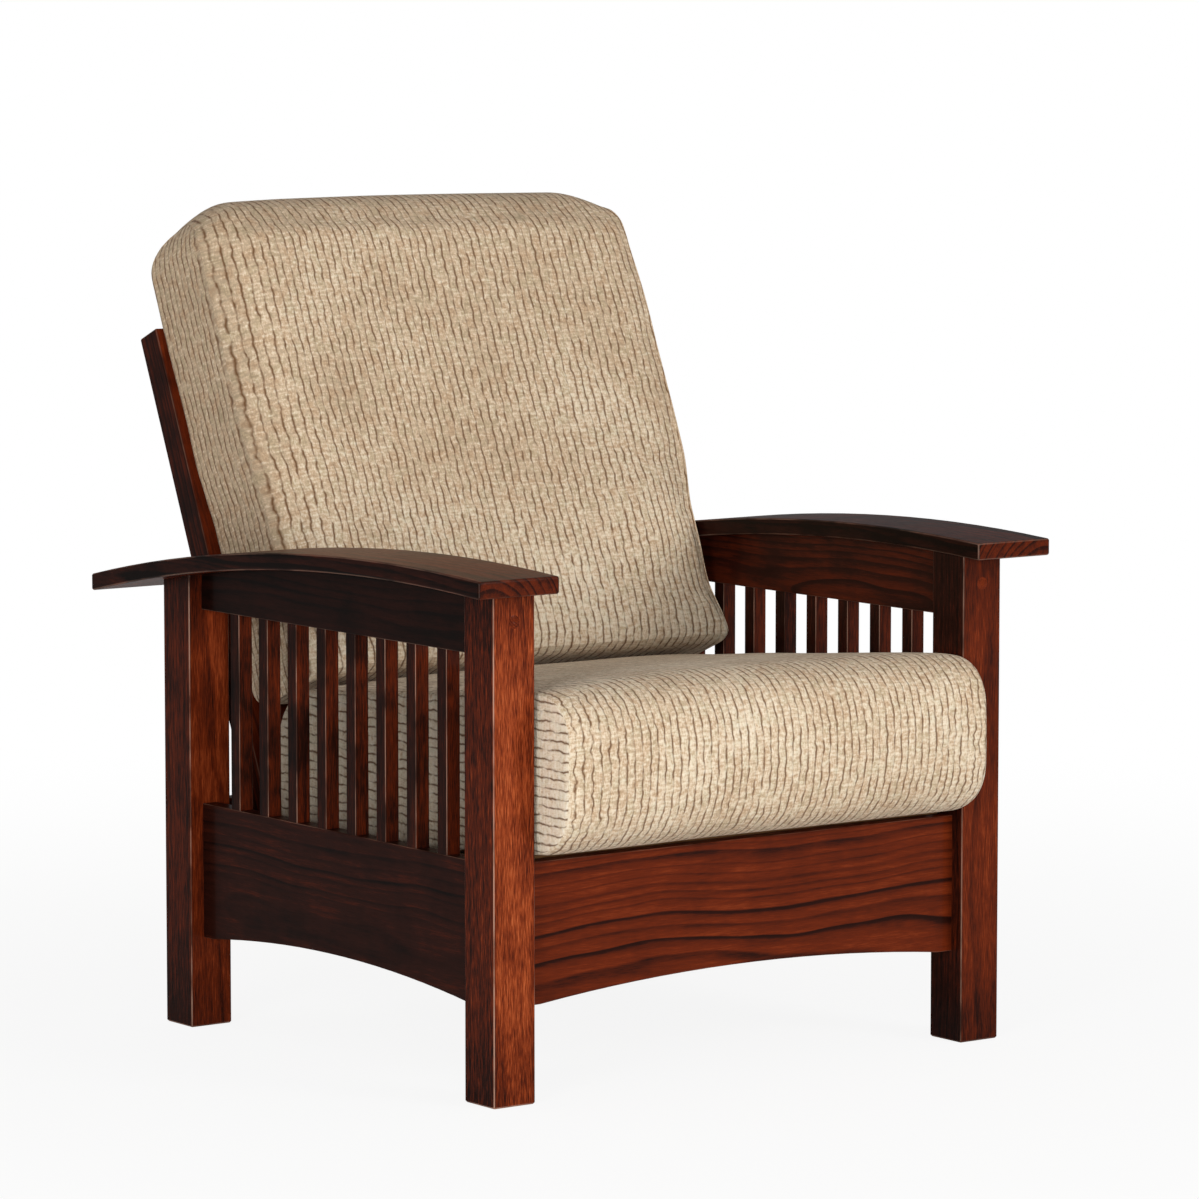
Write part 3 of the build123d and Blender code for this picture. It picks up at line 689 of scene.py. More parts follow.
@dataclass
class LegFrame:
    """The four legs, the arched aprons, the plugs and the pieces hidden behind the aprons."""

    nodes: dict[str, bpy.types.Object]
    leg_x: float = 338.0
    front_leg_y: float = -360.5
    rear_leg_y: float = 263.5
    leg_middle: float = 290.0
    apron_x: float = 348.5
    apron_y: float = -48.5
    apron_middle: float = 190.0
    oak: StainedOak = StainedOak()

    def dress_legs(self) -> None:
        """Give each leg its own sawing, so that no two show the same grain."""
        middles = {
            f"{side}_{end}_leg": (x, y, self.leg_middle)
            for end, y in (("front", self.front_leg_y), ("rear", self.rear_leg_y))
            for side, x in (("left", -self.leg_x), ("right", self.leg_x))
        }
        # Each look sets painted shade on the leg's sideways faces and a painted highlight on its eased edges
        looks = {
            "left_front_leg": dict(heart=(25.0, -75.0), tone=0.66, side_stain_and_shade=0.27, flecks=0.72, edge_highlight=0.7),
            "right_front_leg": dict(heart=(-20.0, -85.0), tone=0.49, side_stain_and_shade=0.2, flecks=0.4, edge_highlight=0.35),
            "left_rear_leg": dict(heart=(15.0, -70.0), tone=0.57, side_stain_and_shade=0.22, flecks=0.45, edge_highlight=0.6),
            "right_rear_leg": dict(heart=(-30.0, -80.0), tone=0.5, side_stain_and_shade=0.2, flecks=0.35, edge_highlight=0.3),
        }
        dress_boards(self.nodes, self.oak, {
            name: Board(
                Grain.UPRIGHT, middle, pitch=7.0, rings=0.16, blotches=0.1, end_tone=0.13, **looks[name]
            )
            for name, middle in middles.items()
        })

    def dress_aprons(self) -> None:
        """Flat-sawn aprons, whose growth rings open into wide dark lines."""
        left, right = ((x, self.apron_y, self.apron_middle) for x in (-self.apron_x, self.apron_x))
        dress_boards(self.nodes, self.oak, {
            "front_apron": Board(
                Grain.ACROSS, (0.0, -370.5, self.apron_middle), (-80.0, -114.0), pitch=7.5, side_stain_and_shade=0.1,
                flecks=0.16, rings=0.46, blotches=0.05,
            ),
            "rear_apron": Board(
                Grain.ACROSS, (0.0, 274.0, self.apron_middle), (20.0, -60.0), side_stain_and_shade=0.1, rings=0.45,
                blotches=0.1,
            ),
            "left_side_apron": Board(
                Grain.FORE_AND_AFT, left, (-40.0, 90.0), tone=0.25, flecks=0.12, rings=0.22, blotches=0.08
            ),
            "right_side_apron": Board(
                Grain.FORE_AND_AFT, right, (-50.0, -66.0), tone=0.38, flecks=0.14, rings=0.25, blotches=0.08
            ),
        })

    def dress_plugs(self) -> None:
        """End-grain plugs, darker than the face grain round them because they drink more stain."""
        plug = Board(
            Grain.FORE_AND_AFT, (-self.leg_x, -389.0, 544.0), (10.0, 10.0), pitch=3.0, flecks=0.3, rings=0.2,
            blotches=0.1, edge_highlight=0.08,
        )
        dress_boards(self.nodes, self.oak, {"leg_plugs": plug})

    def dress_inner_wood(self) -> None:
        """Cleats, corner blocks, pivot blocks and the seat frame, in plain secondary wood."""
        look = dict(pitch=6.0, flecks=0.3, rings=0.2)
        fore = Board(Grain.FORE_AND_AFT, (310.0, 0.0, 230.0), (30.0, -200.0), **look)
        cross = Board(Grain.FLAT_ACROSS, (0.0, 0.0, 250.0), (60.0, -180.0), **look)
        names = [f"{side}_{piece}" for side in ("left", "right") for piece in ("cleat", "pivot_block")]
        names += ["seat_frame_left", "seat_frame_right"]
        dress(self.nodes, names, InnerWood().material("cleats", fore))
        names = ["front_cleat", "seat_frame_front", "seat_frame_rear", "corner_blocks"]
        dress(self.nodes, names, InnerWood().material("seat_frame", cross))

    def build(self) -> None:
        """Dress the whole leg frame."""
        self.dress_legs()
        self.dress_aprons()
        self.dress_plugs()
        self.dress_inner_wood()


@dataclass
class SlattedSides:
    """The bowed arms, the rails under them, and the square slats."""

    nodes: dict[str, bpy.types.Object]
    arm_x: float = 356.5
    rail_x: float = 348.0
    slat_x: float = 338.0
    middle_y: float = -48.5
    slats: int = 8
    oak: StainedOak = StainedOak()

    def build(self) -> None:
        """Dress the arms, rails and slats of both sides."""
        for side, sign in (("left", -1), ("right", 1)):
            arm = Board(
                Grain.FLAT_FORE_AND_AFT, (sign * self.arm_x, 0.0, 600.0), (-42.0 * sign, -62.0),
                tone=0.47 if side == "left" else 0.4, side_stain_and_shade=0.27, rings=0.35, blotches=0.12,
            )
            rail = Board(
                Grain.FORE_AND_AFT, (sign * self.rail_x, self.middle_y, 540.0), (-30.0, -60.0 * sign),
                pitch=7.0, tone=0.11 if side == "left" else 0.33, flecks=0.12, rings=0.2, blotches=0.08,
            )
            slat = Board(
                Grain.UPRIGHT_SIDEWAYS, (sign * self.slat_x, self.middle_y, 380.0), (90.0, -190.0 * sign),
                pitch=6.0, tone=0.36, side_stain_and_shade=0.16, flecks=0.4, rings=0.15, blotches=0.14, edge_highlight=0.5,
            )
            dress_boards(self.nodes, self.oak, {f"{side}_arm": arm, f"{side}_arm_rail": rail})
            names = [f"{side}_slat_{number + 1}" for number in range(self.slats)]
            dress(self.nodes, names, self.oak.material(f"{side}_slats", slat))


@dataclass
class BackFrame:
    """The hinged back: stiles, rails and flat slats, with the pegs behind it and its pivots."""

    nodes: dict[str, bpy.types.Object]
    stile_x: float = 279.5
    peg_x: float = 280.0
    slats: int = 5
    oak: StainedOak = StainedOak()

    def build(self) -> None:
        """Dress the back, its pegs and its pivot hardware."""
        for side, sign in (("left", -1), ("right", 1)):
            stile = Board(
                Grain.LEANING, (sign * self.stile_x, 300.0, 520.0), (30.0 * sign, -80.0), pitch=7.0,
                side_stain_and_shade=0.2, rings=0.2, blotches=0.12,
            )
            peg = Board(
                Grain.FLAT_ACROSS, (sign * self.peg_x, 336.0, 537.0), (20.0, -60.0), pitch=5.0, tone=0.42,
                side_stain_and_shade=0.1, rings=0.2,
            )
            dress_boards(self.nodes, self.oak, {f"{side}_stile": stile, f"{side}_peg": peg})
        rail = Board(Grain.LEANING_ACROSS, (0.0, 300.0, 600.0), (-30.0, -60.0), tone=0.48, side_stain_and_shade=0.1)
        slat = Board(
            Grain.LEANING, (0.0, 300.0, 550.0), (15.0, -75.0), pitch=7.0, tone=0.48, side_stain_and_shade=0.1,
            flecks=0.25, rings=0.35,
        )
        dress(self.nodes, ["crest_rail", "foot_rail"], self.oak.material("back_rails", rail))
        names = [f"back_slat_{number + 1}" for number in range(self.slats)]
        dress(self.nodes, names, self.oak.material("back_slats", slat))
        names = ["left_pivot_bolt", "right_pivot_bolt", "pivot_washers", "frame_screws"]
        dress(self.nodes, names, ZincSteel().material("fastenings"))
        dress(self.nodes, ["cross_webbing", "long_webbing"], JuteWebbing().material("seat_straps"))


def smooth_step(low: float, high: float, value: float) -> float:
    """Soft rise from 0 at low to 1 at high."""
    share = min(1.0, max(0.0, (value - low) / (high - low)))
    return share * share * (3 - 2 * share)


def stations(half: float, step: float) -> list[float]:
    """Places across a cushion: close together beside its seams, a step apart between.

    Args:
        half: how far the cushion reaches to each side of its middle.
        step: the distance between places away from the seams.

    Returns:
        The places, from left to right.
    """
    near = (0.0, 3.5 * MM, 9.0 * MM, 17.0 * MM, 28.0 * MM)
    inner = 2 * half - 2 * near[-1]
    count = round(inner / step)
    middle = [-half + near[-1] + inner * i / count for i in range(1, count)]
    return [-half + away for away in near] + middle + [half - away for away in reversed(near)]


def spread_points(path: Sequence[Point], count: int) -> list[Point]:
    """Spread points evenly along an open path.

    Args:
        path: the path's points.
        count: how many steps to divide it into.

    Returns:
        The first point and those after it, without the path's last one.
    """
    lengths = [math.dist(a, b) for a, b in zip(path, path[1:])]
    total = sum(lengths)
    points: list[Point] = []
    index, walked = 0, 0.0
    for step in range(count):
        target = total * step / count
        while walked + lengths[index] < target:
            walked += lengths[index]
            index += 1
        share = (target - walked) / lengths[index] if lengths[index] else 0.0
        a, b = path[index], path[index + 1]
        points.append((a[0] + (b[0] - a[0]) * share, a[1] + (b[1] - a[1]) * share))
    return points


def rounded_outline(corners: Sequence[Place], counts: Sequence[int]) -> list[Point]:
    """Outline of four sides whose corners are rounded by circles.

    Args:
        corners: (first, second, radius) of the four corners in millimetres, in order.
        counts: how many steps each side is divided into, from the middle of one corner to the next.

    Returns:
        The points in metres, starting at the middle of the first corner.
    """
    corners = [(first * MM, second * MM, radius * MM) for first, second, radius in corners]
    half_steps = 6
    arcs: list[list[Point]] = []
    for index, (first, second, radius) in enumerate(corners):
        here = Vector((first, second))
        before = (Vector(corners[index - 1][:2]) - here).normalized()
        after = (Vector(corners[(index + 1) % 4][:2]) - here).normalized()
        half = before.angle(after) / 2
        centre = here + (before + after).normalized() * (radius / math.sin(half))
        start = here + before * (radius / math.tan(half)) - centre
        end = here + after * (radius / math.tan(half)) - centre
        sweep = start.angle(end)
        arc = []
        for step in range(2 * half_steps + 1):
            turn = sweep * step / (2 * half_steps)
            away = (start * math.sin(sweep - turn) + end * math.sin(turn)) / math.sin(sweep)
            arc.append(tuple(centre + away))
        arcs.append(arc)
    points: list[Point] = []
    for index, count in enumerate(counts):
        points += spread_points(arcs[index][half_steps:] + arcs[(index + 1) % 4][: half_steps + 1], count)
    return points


@dataclass
class BoxedCushion:
    """A boxed cushion: a cover wrapped round its profile, with a panel closing each end.

    The cover reaches half to each side of its middle and is a mesh of squares about a step wide,
    with as many on the profile's first and second sides as sides says. A cloth simulation swells
    it over its foam while the seams are held, and its movement is then softly limited to swell
    outward, shrink inward and slide along the cover. After that the seams are drawn in by
    seam_depth, the cover is puckered within seam_reach of them, and slow dents go all over it.
    """

    name: str
    node: str
    body: str
    half: float
    cloth: RibbedChenille = RibbedChenille()
    sides: tuple[int, int] = (48, 15)
    step: float = 12.0
    sewn_ends: bool = True
    fill: float = 0.85
    frames: int = 20
    pressure: float = 4.0
    swell: float = 8.0
    shrink: float = 2.5
    slide: float = 2.5
    free_slide: float = 8.0
    seam_inset: float = 3.5
    seam_depth: float = 2.0
    seam_reach: float = 40.0
    pucker: float = 2.2
    puckers_per_metre: Point = (28.0, 55.0)
    fine_puckers: float = 0.6
    dent: float = 1.6
    dents_per_metre: float = 7.0
    dents_start: Place = (3.0, 1.0, 2.0)

    def outline(self, x: float) -> list[Point]:
        """The closed profile at a place across, in metres, side by side."""
        raise NotImplementedError

    def panel_weave(self, x: float, first: float, second: float) -> Point:
        """Metres across and along the cords of the end panel at a place across."""
        raise NotImplementedError

    def clear(self, place: Vector) -> Vector:
        """Keep a point of the cover clear of what stands beside the cushion."""
        raise NotImplementedError

    def put(self, x: float, first: float, second: float) -> Vector:
        """Where a point of the profile lies in the frame."""
        return Vector((x, first, second))

    def held_rows(self) -> list[int]:
        """Places on the profile that are sewn all the way across."""
        return []

    def places(self) -> list[float]:
        """Places across, in metres, at which the cover has a row of vertices."""
        return stations(self.half * MM, self.step * MM)

    def panel_grid(self, section: list[Point]) -> list[list[Point]]:
        """Grid of an end panel inside its outline.

        Args:
            section: the panel's outline.

        Returns:
            One list of points along the first side for each step along the second.
        """
        along, up = self.sides
        low = [section[i] for i in range(along + 1)]
        far = [section[along + j] for j in range(up + 1)]
        high = [section[2 * along + up - i] for i in range(along + 1)]
        near = [section[-j % len(section)] for j in range(up + 1)]
        rows = []
        for j in range(up + 1):
            v = j / up
            row = []
            for i in range(along + 1):
                u = i / along
                row.append(tuple(
                    (1 - v) * low[i][k] + v * high[i][k] + (1 - u) * near[j][k] + u * far[j][k]
                    - (1 - u) * ((1 - v) * low[0][k] + v * high[0][k])
                    - u * ((1 - v) * low[-1][k] + v * high[-1][k])
                    for k in (0, 1)
                ))
            rows.append(row)
        return rows

    def cover(self) -> tuple[bpy.types.Mesh, set[int]]:
        """Make the cover, with a UV map that holds metres across and along the cords.

        Returns:
            The mesh, and the numbers of the vertices that lie on a seam.
        """
        places = self.places()
        sections = [self.outline(x) for x in places]
        count = len(sections[0])
        middle = sections[len(sections) // 2]
        runs = [0.0]
        for i in range(count):
            runs.append(runs[-1] + math.dist(middle[i], middle[(i + 1) % count]))
        points = [self.put(x, *point) for x, section in zip(places, sections) for point in section]
        seams = {s * count + row for s in range(len(places)) for row in self.held_rows()}
        if self.sewn_ends:
            seams |= set(range(count)) | set(range(len(points) - count, len(points)))
        faces: list[tuple[int, ...]] = []
        weave: list[Point] = []
        for s in range(len(places) - 1):
            for i in range(count):
                j = (i + 1) % count
                faces.append((s * count + i, (s + 1) * count + i, (s + 1) * count + j, s * count + j))
                a, b, c, d = places[s], places[s + 1], runs[i], runs[i + 1]
                weave += [(a, c), (b, c), (b, d), (a, d)]
        for end in (0, len(places) - 1):
            self.close_end(places[end], sections[end], end * count, points, faces, weave)
        data = bpy.data.meshes.new(self.name)
        data.from_pydata(points, [], faces)
        layer = data.uv_layers.new(name="weave")
        layer.data.foreach_set("uv", [value for pair in weave for value in pair])
        outward = bmesh.new()
        outward.from_mesh(data)
        bmesh.ops.recalc_face_normals(outward, faces=outward.faces)
        outward.to_mesh(data)
        outward.free()
        data.update()
        return data, seams

    def close_end(
        self, x: float, section: list[Point], first: int, points: list[Vector],
        faces: list[tuple[int, ...]], weave: list[Point],
    ) -> None:
        """Close one end: a narrow ring beside the seam, then a grid inside it.

        Args:
            x: the end's place across.
            section: the end's outline.
            first: the number of the outline's first vertex.
            points: the cover's vertices, added to.
            faces: its faces, added to.
            weave: the UV place of each face's corners, added to.
        """
        count = len(section)
        ring = []
        for i in range(count):
            way = Vector(section[(i + 1) % count]) - Vector(section[i - 1])
            inward = Vector((way.y, -way.x)).normalized()
            ring.append(tuple(Vector(section[i]) + inward * self.seam_inset * MM))
        grid = self.panel_grid(ring)
        rows, columns = len(grid), len(grid[0])
        start = len(points)
        points += [self.put(x, *point) for row in grid for point in row]
        rim = [start + i for i in range(columns)]
        rim += [start + j * columns + columns - 1 for j in range(1, rows)]
        rim += [start + (rows - 1) * columns + i for i in range(columns - 2, -1, -1)]
        rim += [start + j * columns for j in range(rows - 2, 0, -1)]
        for i in range(count):
            j = (i + 1) % count
            faces.append((first + i, first + j, rim[j], rim[i]))
            weave += [self.panel_weave(x, *p) for p in (section[i], section[j], ring[j], ring[i])]
        for j in range(rows - 1):
            for i in range(columns - 1):
                a = start + j * columns + i
                faces.append((a, a + 1, a + columns + 1, a + columns))
                corners = (grid[j][i], grid[j][i + 1], grid[j + 1][i + 1], grid[j + 1][i])
                weave += [self.panel_weave(x, *p) for p in corners]

    def swollen(self, piece: bpy.types.Object, seams: set[int]) -> None:
        """Swell the cover with Blender's cloth while its seams are held, and keep the result.

        Args:
            piece: the cushion.
            seams: numbers of the vertices on a seam.
        """
        scene = bpy.context.scene
        start = [v.co.copy() for v in piece.data.vertices]
        held = piece.vertex_groups.new(name="seams")
        held.add(sorted(seams), 1.0, "REPLACE")
        cloth = piece.modifiers.new("Cover", "CLOTH")
        for name, value in {
            "quality": 5, "mass": 0.3, "tension_stiffness": 10, "compression_stiffness": 10,
            "shear_stiffness": 5, "bending_stiffness": 1, "use_pressure": True,
            "uniform_pressure_force": self.pressure, "vertex_group_mass": held.name,
        }.items():
            setattr(cloth.settings, name, value)
        cloth.settings.effector_weights.gravity = 0
        cloth.point_cache.frame_start = 1
        cloth.point_cache.frame_end = self.frames
        for frame in range(1, self.frames + 1):
            scene.frame_set(frame)
        shown = piece.evaluated_get(bpy.context.evaluated_depsgraph_get())
        moved = [v.co.copy() for v in shown.data.vertices]
        piece.modifiers.remove(cloth)
        piece.vertex_groups.remove(held)
        scene.frame_set(1)
        furthest = 0.0
        for vertex, was, now in zip(piece.data.vertices, start, moved):
            outward = (now - was).dot(vertex.normal)
            slide = (now - was) - vertex.normal * outward
            furthest = max(furthest, outward)
            most = self.swell * MM if outward > 0 else self.shrink * MM
            slide.length = self.slide * MM * math.tanh(slide.length / (self.free_slide * MM))
            vertex.co = was + slide + vertex.normal * (most * math.tanh(outward / (2 * most)))
        LOG.info("%s swelled by up to %.1f mm before the limit", self.name, furthest / MM)

    def sewn(self, data: bpy.types.Mesh, seams: set[int]) -> None:
        """Draw the seams in and pucker the cover beside them.

        Args:
            data: the cushion's mesh.
            seams: numbers of the vertices on a seam.
        """
        reach = self.seam_reach * MM
        away = {number: 0.0 for number in seams}
        beside: dict[int, list[int]] = {}
        for edge in data.edges:
            a, b = edge.vertices
            beside.setdefault(a, []).append(b)
            beside.setdefault(b, []).append(a)
        front = sorted(seams)
        while front:
            following = []
            for number in front:
                for other in beside[number]:
                    gap = away[number] + (data.vertices[number].co - data.vertices[other].co).length
                    if gap < min(reach, away.get(other, reach)):
                        away[other] = gap
                        following.append(other)
            front = following
        normals = [v.normal.copy() for v in data.vertices]
        wide, fine = self.puckers_per_metre
        for number, gap in away.items():
            vertex, normal = data.vertices[number], normals[number]
            if gap == 0.0:
                vertex.co -= normal * self.seam_depth * MM
            else:
                ripple = noise.noise(vertex.co * wide) + self.fine_puckers * noise.noise(vertex.co * fine)
                vertex.co += normal * self.pucker * MM * ripple * (1 - gap / reach)

    def build(self) -> bpy.types.Object:
        """Make the cushion, swell and sew it, and lay it on its body.

        Returns:
            The finished cushion.
        """
        data, seams = self.cover()
        piece = bpy.data.objects.new(self.name, data)
        bpy.context.scene.collection.objects.link(piece)
        self.swollen(piece, seams)
        self.sewn(data, seams)
        for vertex in data.vertices:
            dents = noise.noise(vertex.co * self.dents_per_metre + Vector(self.dents_start))
            vertex.co = self.clear(vertex.co + vertex.normal * (self.dent * MM * dents))
        data.polygons.foreach_set("use_smooth", [True] * len(data.polygons))

        # Seams sewn across the cover stay crisp when it is subdivided
        count = 2 * sum(self.sides)
        wrapped = len(self.places()) * count
        crease = data.attributes.new("crease_edge", "FLOAT", "EDGE")
        for edge in data.edges:
            if all(v < wrapped and v % count in self.held_rows() for v in edge.vertices):
                crease.data[edge.index].value = 1.0
                edge.use_edge_sharp = True
        fine = piece.modifiers.new("Fine surface", "SUBSURF")
        fine.levels = fine.render_levels = 1
        data.materials.append(self.cloth.material(self.name))
        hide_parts(self.node)
        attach(piece, self.body)
        LOG.info("built %s", self.name)
        return piece


@dataclass
class SeatCushion(BoxedCushion):
    """The seat cushion: a crowned slab on the webbing, with a full round nose over the front apron.

    Its profile runs along the bottom, up the front, back along the top and down the rear. crown and
    nose_crown are how much it is fuller in its middle, and it is eased by end_ease beside its ends.
    room and rear_room are what it may fill between the legs and ahead of the leaning back.
    """

    name: str = "ribbed_seat_cushion"
    node: str = "seat_cushion"
    body: str = "frame"
    half: float = 303.0
    # The end panels are paled as painted light
    cloth: RibbedChenille = RibbedChenille(end_panel_light=0.24)
    front: float = -445.0
    rear: float = 141.0
    deck_front: float = -350.03
    deck_height: float = 275.4
    slope: float = 0.09981
    thickness: float = 185.0
    crown: float = 3.0
    nose_crown: float = 2.0
    nose_radius: float = 52.0
    low_nose_radius: float = 58.0
    tail_radius: float = 60.0
    low_tail_radius: float = 22.0
    end_ease: float = 2.5
    eased_from: float = 0.955
    panel_middle: float = 330.0
    room: float = 308.9
    rear_room: float = 143.0

    def deck(self, y: float) -> float:
        """Height of the webbed deck at a place fore and aft, in millimetres."""
        return self.deck_height - (y - self.deck_front) * self.slope

    def outline(self, x: float) -> list[Point]:
        """Profile at a place across: fore-and-aft places and heights.

        Args:
            x: the place across, in metres.

        Returns:
            The profile's points.
        """
        share = abs(x) / (self.half * MM)
        full = 1 - share**2
        edge = self.end_ease * smooth_step(self.eased_from, 1.0, share)
        front, rear = self.front - self.nose_crown * full + edge, self.rear - edge
        low, high = edge, self.thickness - edge + self.crown * full
        corners = (
            (rear, self.deck(rear) + low, self.low_tail_radius),
            (front, self.deck(front) + low, self.low_nose_radius),
            (front, self.deck(front) + high, self.nose_radius),
            (rear, self.deck(rear) + high, self.tail_radius),
        )
        return rounded_outline(corners, self.sides * 2)

    def panel_weave(self, x: float, first: float, second: float) -> Point:
        """The end panels' cords lie level, fore and aft."""
        return second - self.panel_middle * MM, first

    def clear(self, place: Vector) -> Vector:
        """Keep the cover on the webbing, between the legs and ahead of the leaning back."""
        x = max(-self.room * MM, min(self.room * MM, place.x))
        return Vector((x, min(place.y, self.rear_room * MM), max(place.z, self.deck(place.y / MM) * MM)))


@dataclass
class BackCushion(BoxedCushion):
    """The back cushion: wrapped over a round top, and pinched where it passes the right arm.

    Its places are across, out from the stiles and up along them, and then it leans on them. Its
    profile runs out along the bottom, up the front, back over the top and down the rear. Pairs
    named side_ hold the left side first. The places that ever pass an arm lie between arm_low and
    arm_high, each a height and its fall for each millimetre out. There the right side is squeezed
    from its widest to its waist, within squeezed_run of its edge, and bulges forward. room is what
    it may fill beside the arm, and room_below and room_above what it gains below and above it,
    less leg_width beside the rear leg.
    """

    name: str = "ribbed_back_cushion"
    node: str = "back_cushion"
    body: str = "back_cushion"
    half: float = 295.0
    # The cover is browned as painted shade where it turns away from the front and paled as painted light
    # lower down
    cloth: RibbedChenille = RibbedChenille(gather=7.5, brown=0.08, turned_away_shade=0.16, low=0.24)
    sides: tuple[int, int] = (15, 48)
    sewn_ends: bool = False
    seam_depth: float = 0.4
    pucker: float = 0.8
    pivot_y: float = 176.97
    pivot_z: float = 230.0
    lean: float = 23.3
    rear: float = 20.0
    thickness: float = 158.0
    crown: float = 7.0
    low_rear: float = 147.5
    low_front: float = 155.5
    low_rear_radius: float = 22.0
    low_front_radius: float = 2.5
    low_bulge: float = 24.0
    low_start: int = 3
    high: float = 767.0
    high_crown: float = 3.0
    round_top: float = 0.46
    corner_radius: float = 66.0
    side_inset: Point = (44.0, 2.0)
    side_run: Point = (78.0, 6.0)
    side_rise: float = 3.0
    side_flat: float = 5.0
    arm_low: Point = (296.0, 0.1)
    arm_high: Point = (350.0, 0.256)
    left_waist: float = 286.0
    left_spread: float = 6.5
    left_rise: Point = (380.0, 470.0)
    widest: float = 326.0
    waist: float = 299.5
    spread_below: float = 25.0
    spread_above: float = 26.5
    below_run: Point = (110.0, 6.0)
    above_run: Point = (3.0, 95.0)
    taper: float = 7.0
    taper_run: Point = (560.0, 720.0)
    squeezed_run: float = 120.0
    bulge: float = 21.0
    bulge_depth: float = 180.0
    bulge_below: float = 70.0
    bulge_above: float = 95.0
    bulge_run: Point = (150.0, 300.0)
    rear_slack: float = 0.2
    room: float = 300.8
    room_below: float = 24.7
    leg_width: float = 17.7
    leg_run: Point = (208.0, 229.0)
    room_below_run: Point = (24.0, 6.0)
    room_above: float = 34.0
    room_above_run: Point = (2.0, 46.0)

    def outline(self, x: float) -> list[Point]:
        """Profile at a place across: out from the stiles and up along them.

        Args:
            x: the place across, in metres.

        Returns:
            The profile's points.
        """
        full = 1 - (abs(x) / (self.half * MM))**2
        inside = min(1.0, (self.half - abs(x) / MM) / self.side_run[x > 0])
        edge = 1 - math.sqrt(max(0.0, 1 - (1 - inside) ** 2))
        rear = self.rear + self.side_flat * edge
        front = self.rear + self.thickness + self.crown * full - self.side_inset[x > 0] * edge
        low, high = self.side_rise * edge, self.high + self.high_crown * full
        top_radius = self.round_top * (front - rear)
        points = rounded_outline((
            (rear, self.low_rear + low, self.low_rear_radius),
            (front, self.low_front + low, self.low_front_radius),
            (front, high, top_radius),
            (rear, high, top_radius),
        ), self.sides * 2)
        for i in range(self.low_start, self.sides[0]):
            share = max(0.0, 1 - (front - points[i][0] / MM) / self.low_bulge)
            up = self.low_rear + low + (self.low_front - self.low_rear) * share**3
            points[i] = (points[i][0], up * MM)
        return points

    def held_rows(self) -> list[int]:
        """The seam along the cushion's lower front edge."""
        return [self.sides[0]]

    def panel_weave(self, x: float, first: float, second: float) -> Point:
        """The side panels' cords run up, in step with those of the front beside them."""
        front = (self.rear + self.thickness - self.side_inset[x > 0]) * MM
        return x + math.copysign(front - first, x), second

    def between_arms(self, out: float) -> Point:
        """Lowest and highest place along the stiles that ever passes an arm, in millimetres."""
        return self.arm_low[0] - self.arm_low[1] * out, self.arm_high[0] - self.arm_high[1] * out

    def reach(self, right: bool, out: float, up: float) -> float:
        """How far the cushion spreads to one side of its middle.

        Args:
            right: whether it is the right side.
            out: the place out from the stiles, in millimetres.
            up: the place up along them.

        Returns:
            The distance in millimetres.
        """
        if not right:
            return self.left_waist + self.left_spread * smooth_step(*self.left_rise, up)
        low, high = self.between_arms(out)
        below = 1 - smooth_step(low - self.below_run[0], low - self.below_run[1], up)
        above = smooth_step(high + self.above_run[0], high + self.above_run[1], up)
        narrowed = self.taper * smooth_step(*self.taper_run, up)
        return self.waist + self.spread_below * below + self.spread_above * above - narrowed

    def leaned(self, across: float, out: float, up: float) -> Vector:
        """Place in the frame of a place across, out from the stiles and up along them."""
        lean = math.radians(self.lean)
        return Vector((
            across,
            self.pivot_y - out * math.cos(lean) + up * math.sin(lean),
            self.pivot_z + out * math.sin(lean) + up * math.cos(lean),
        )) * MM

    def put(self, x: float, first: float, second: float) -> Vector:
        """Round the cushion's upper corners, spread its sides, and lean it on the stiles.

        Args:
            x: the place across, in metres.
            first: the distance out from the stiles, in metres.
            second: the distance up along them, in metres.

        Returns:
            The place in the frame.
        """
        across, out, up = abs(x) / MM, first / MM, second / MM
        start_across, start_up = self.half - self.corner_radius, self.high - self.corner_radius
        if across > start_across and up > start_up:
            a, b = (across - start_across) / self.corner_radius, (up - start_up) / self.corner_radius
            across = start_across + self.corner_radius * a * math.sqrt(max(0.0, 1 - b * b / 2))
            up = start_up + self.corner_radius * b * math.sqrt(max(0.0, 1 - a * a / 2))
        reach = self.reach(x > 0, out, up)
        if x > 0:
            across *= self.widest / self.half
            start = self.widest - self.squeezed_run
            across -= (self.widest - reach) * smooth_step(start, self.widest, across)
            low, high = self.between_arms(out)
            squeezed = smooth_step(low - self.bulge_below, low, up)
            squeezed *= 1 - smooth_step(high, high + self.bulge_above, up)
            out += self.bulge * squeezed * out / self.bulge_depth * smooth_step(*self.bulge_run, across)
        else:
            across *= reach / self.half
        return self.leaned(math.copysign(across, x), out, up)

    def clear(self, place: Vector) -> Vector:
        """Keep the cover ahead of the stiles and between the arms, the slats and the rear legs.

        Args:
            place: a point of the cover.

        Returns:
            The point, moved clear.
        """
        lean = math.radians(self.lean)
        y, z = place.y / MM - self.pivot_y, place.z / MM - self.pivot_z
        out = max(self.rear - self.rear_slack, -y * math.cos(lean) + z * math.sin(lean))
        up = y * math.sin(lean) + z * math.cos(lean)
        low, high = self.between_arms(out)
        below = self.room_below - self.leg_width * smooth_step(*self.leg_run, place.y / MM)
        below *= 1 - smooth_step(low - self.room_below_run[0], low - self.room_below_run[1], up)
        above = smooth_step(high + self.room_above_run[0], high + self.room_above_run[1], up)
        room = self.room + below + self.room_above * above
        return self.leaned(max(-self.room, min(room, place.x / MM)), out, up)


@dataclass(frozen=True)
class Lamp:
    """A soft square lamp: where it hangs and its side in metres, and its power in watts."""

    name: str
    place: Place
    size: float
    power: float


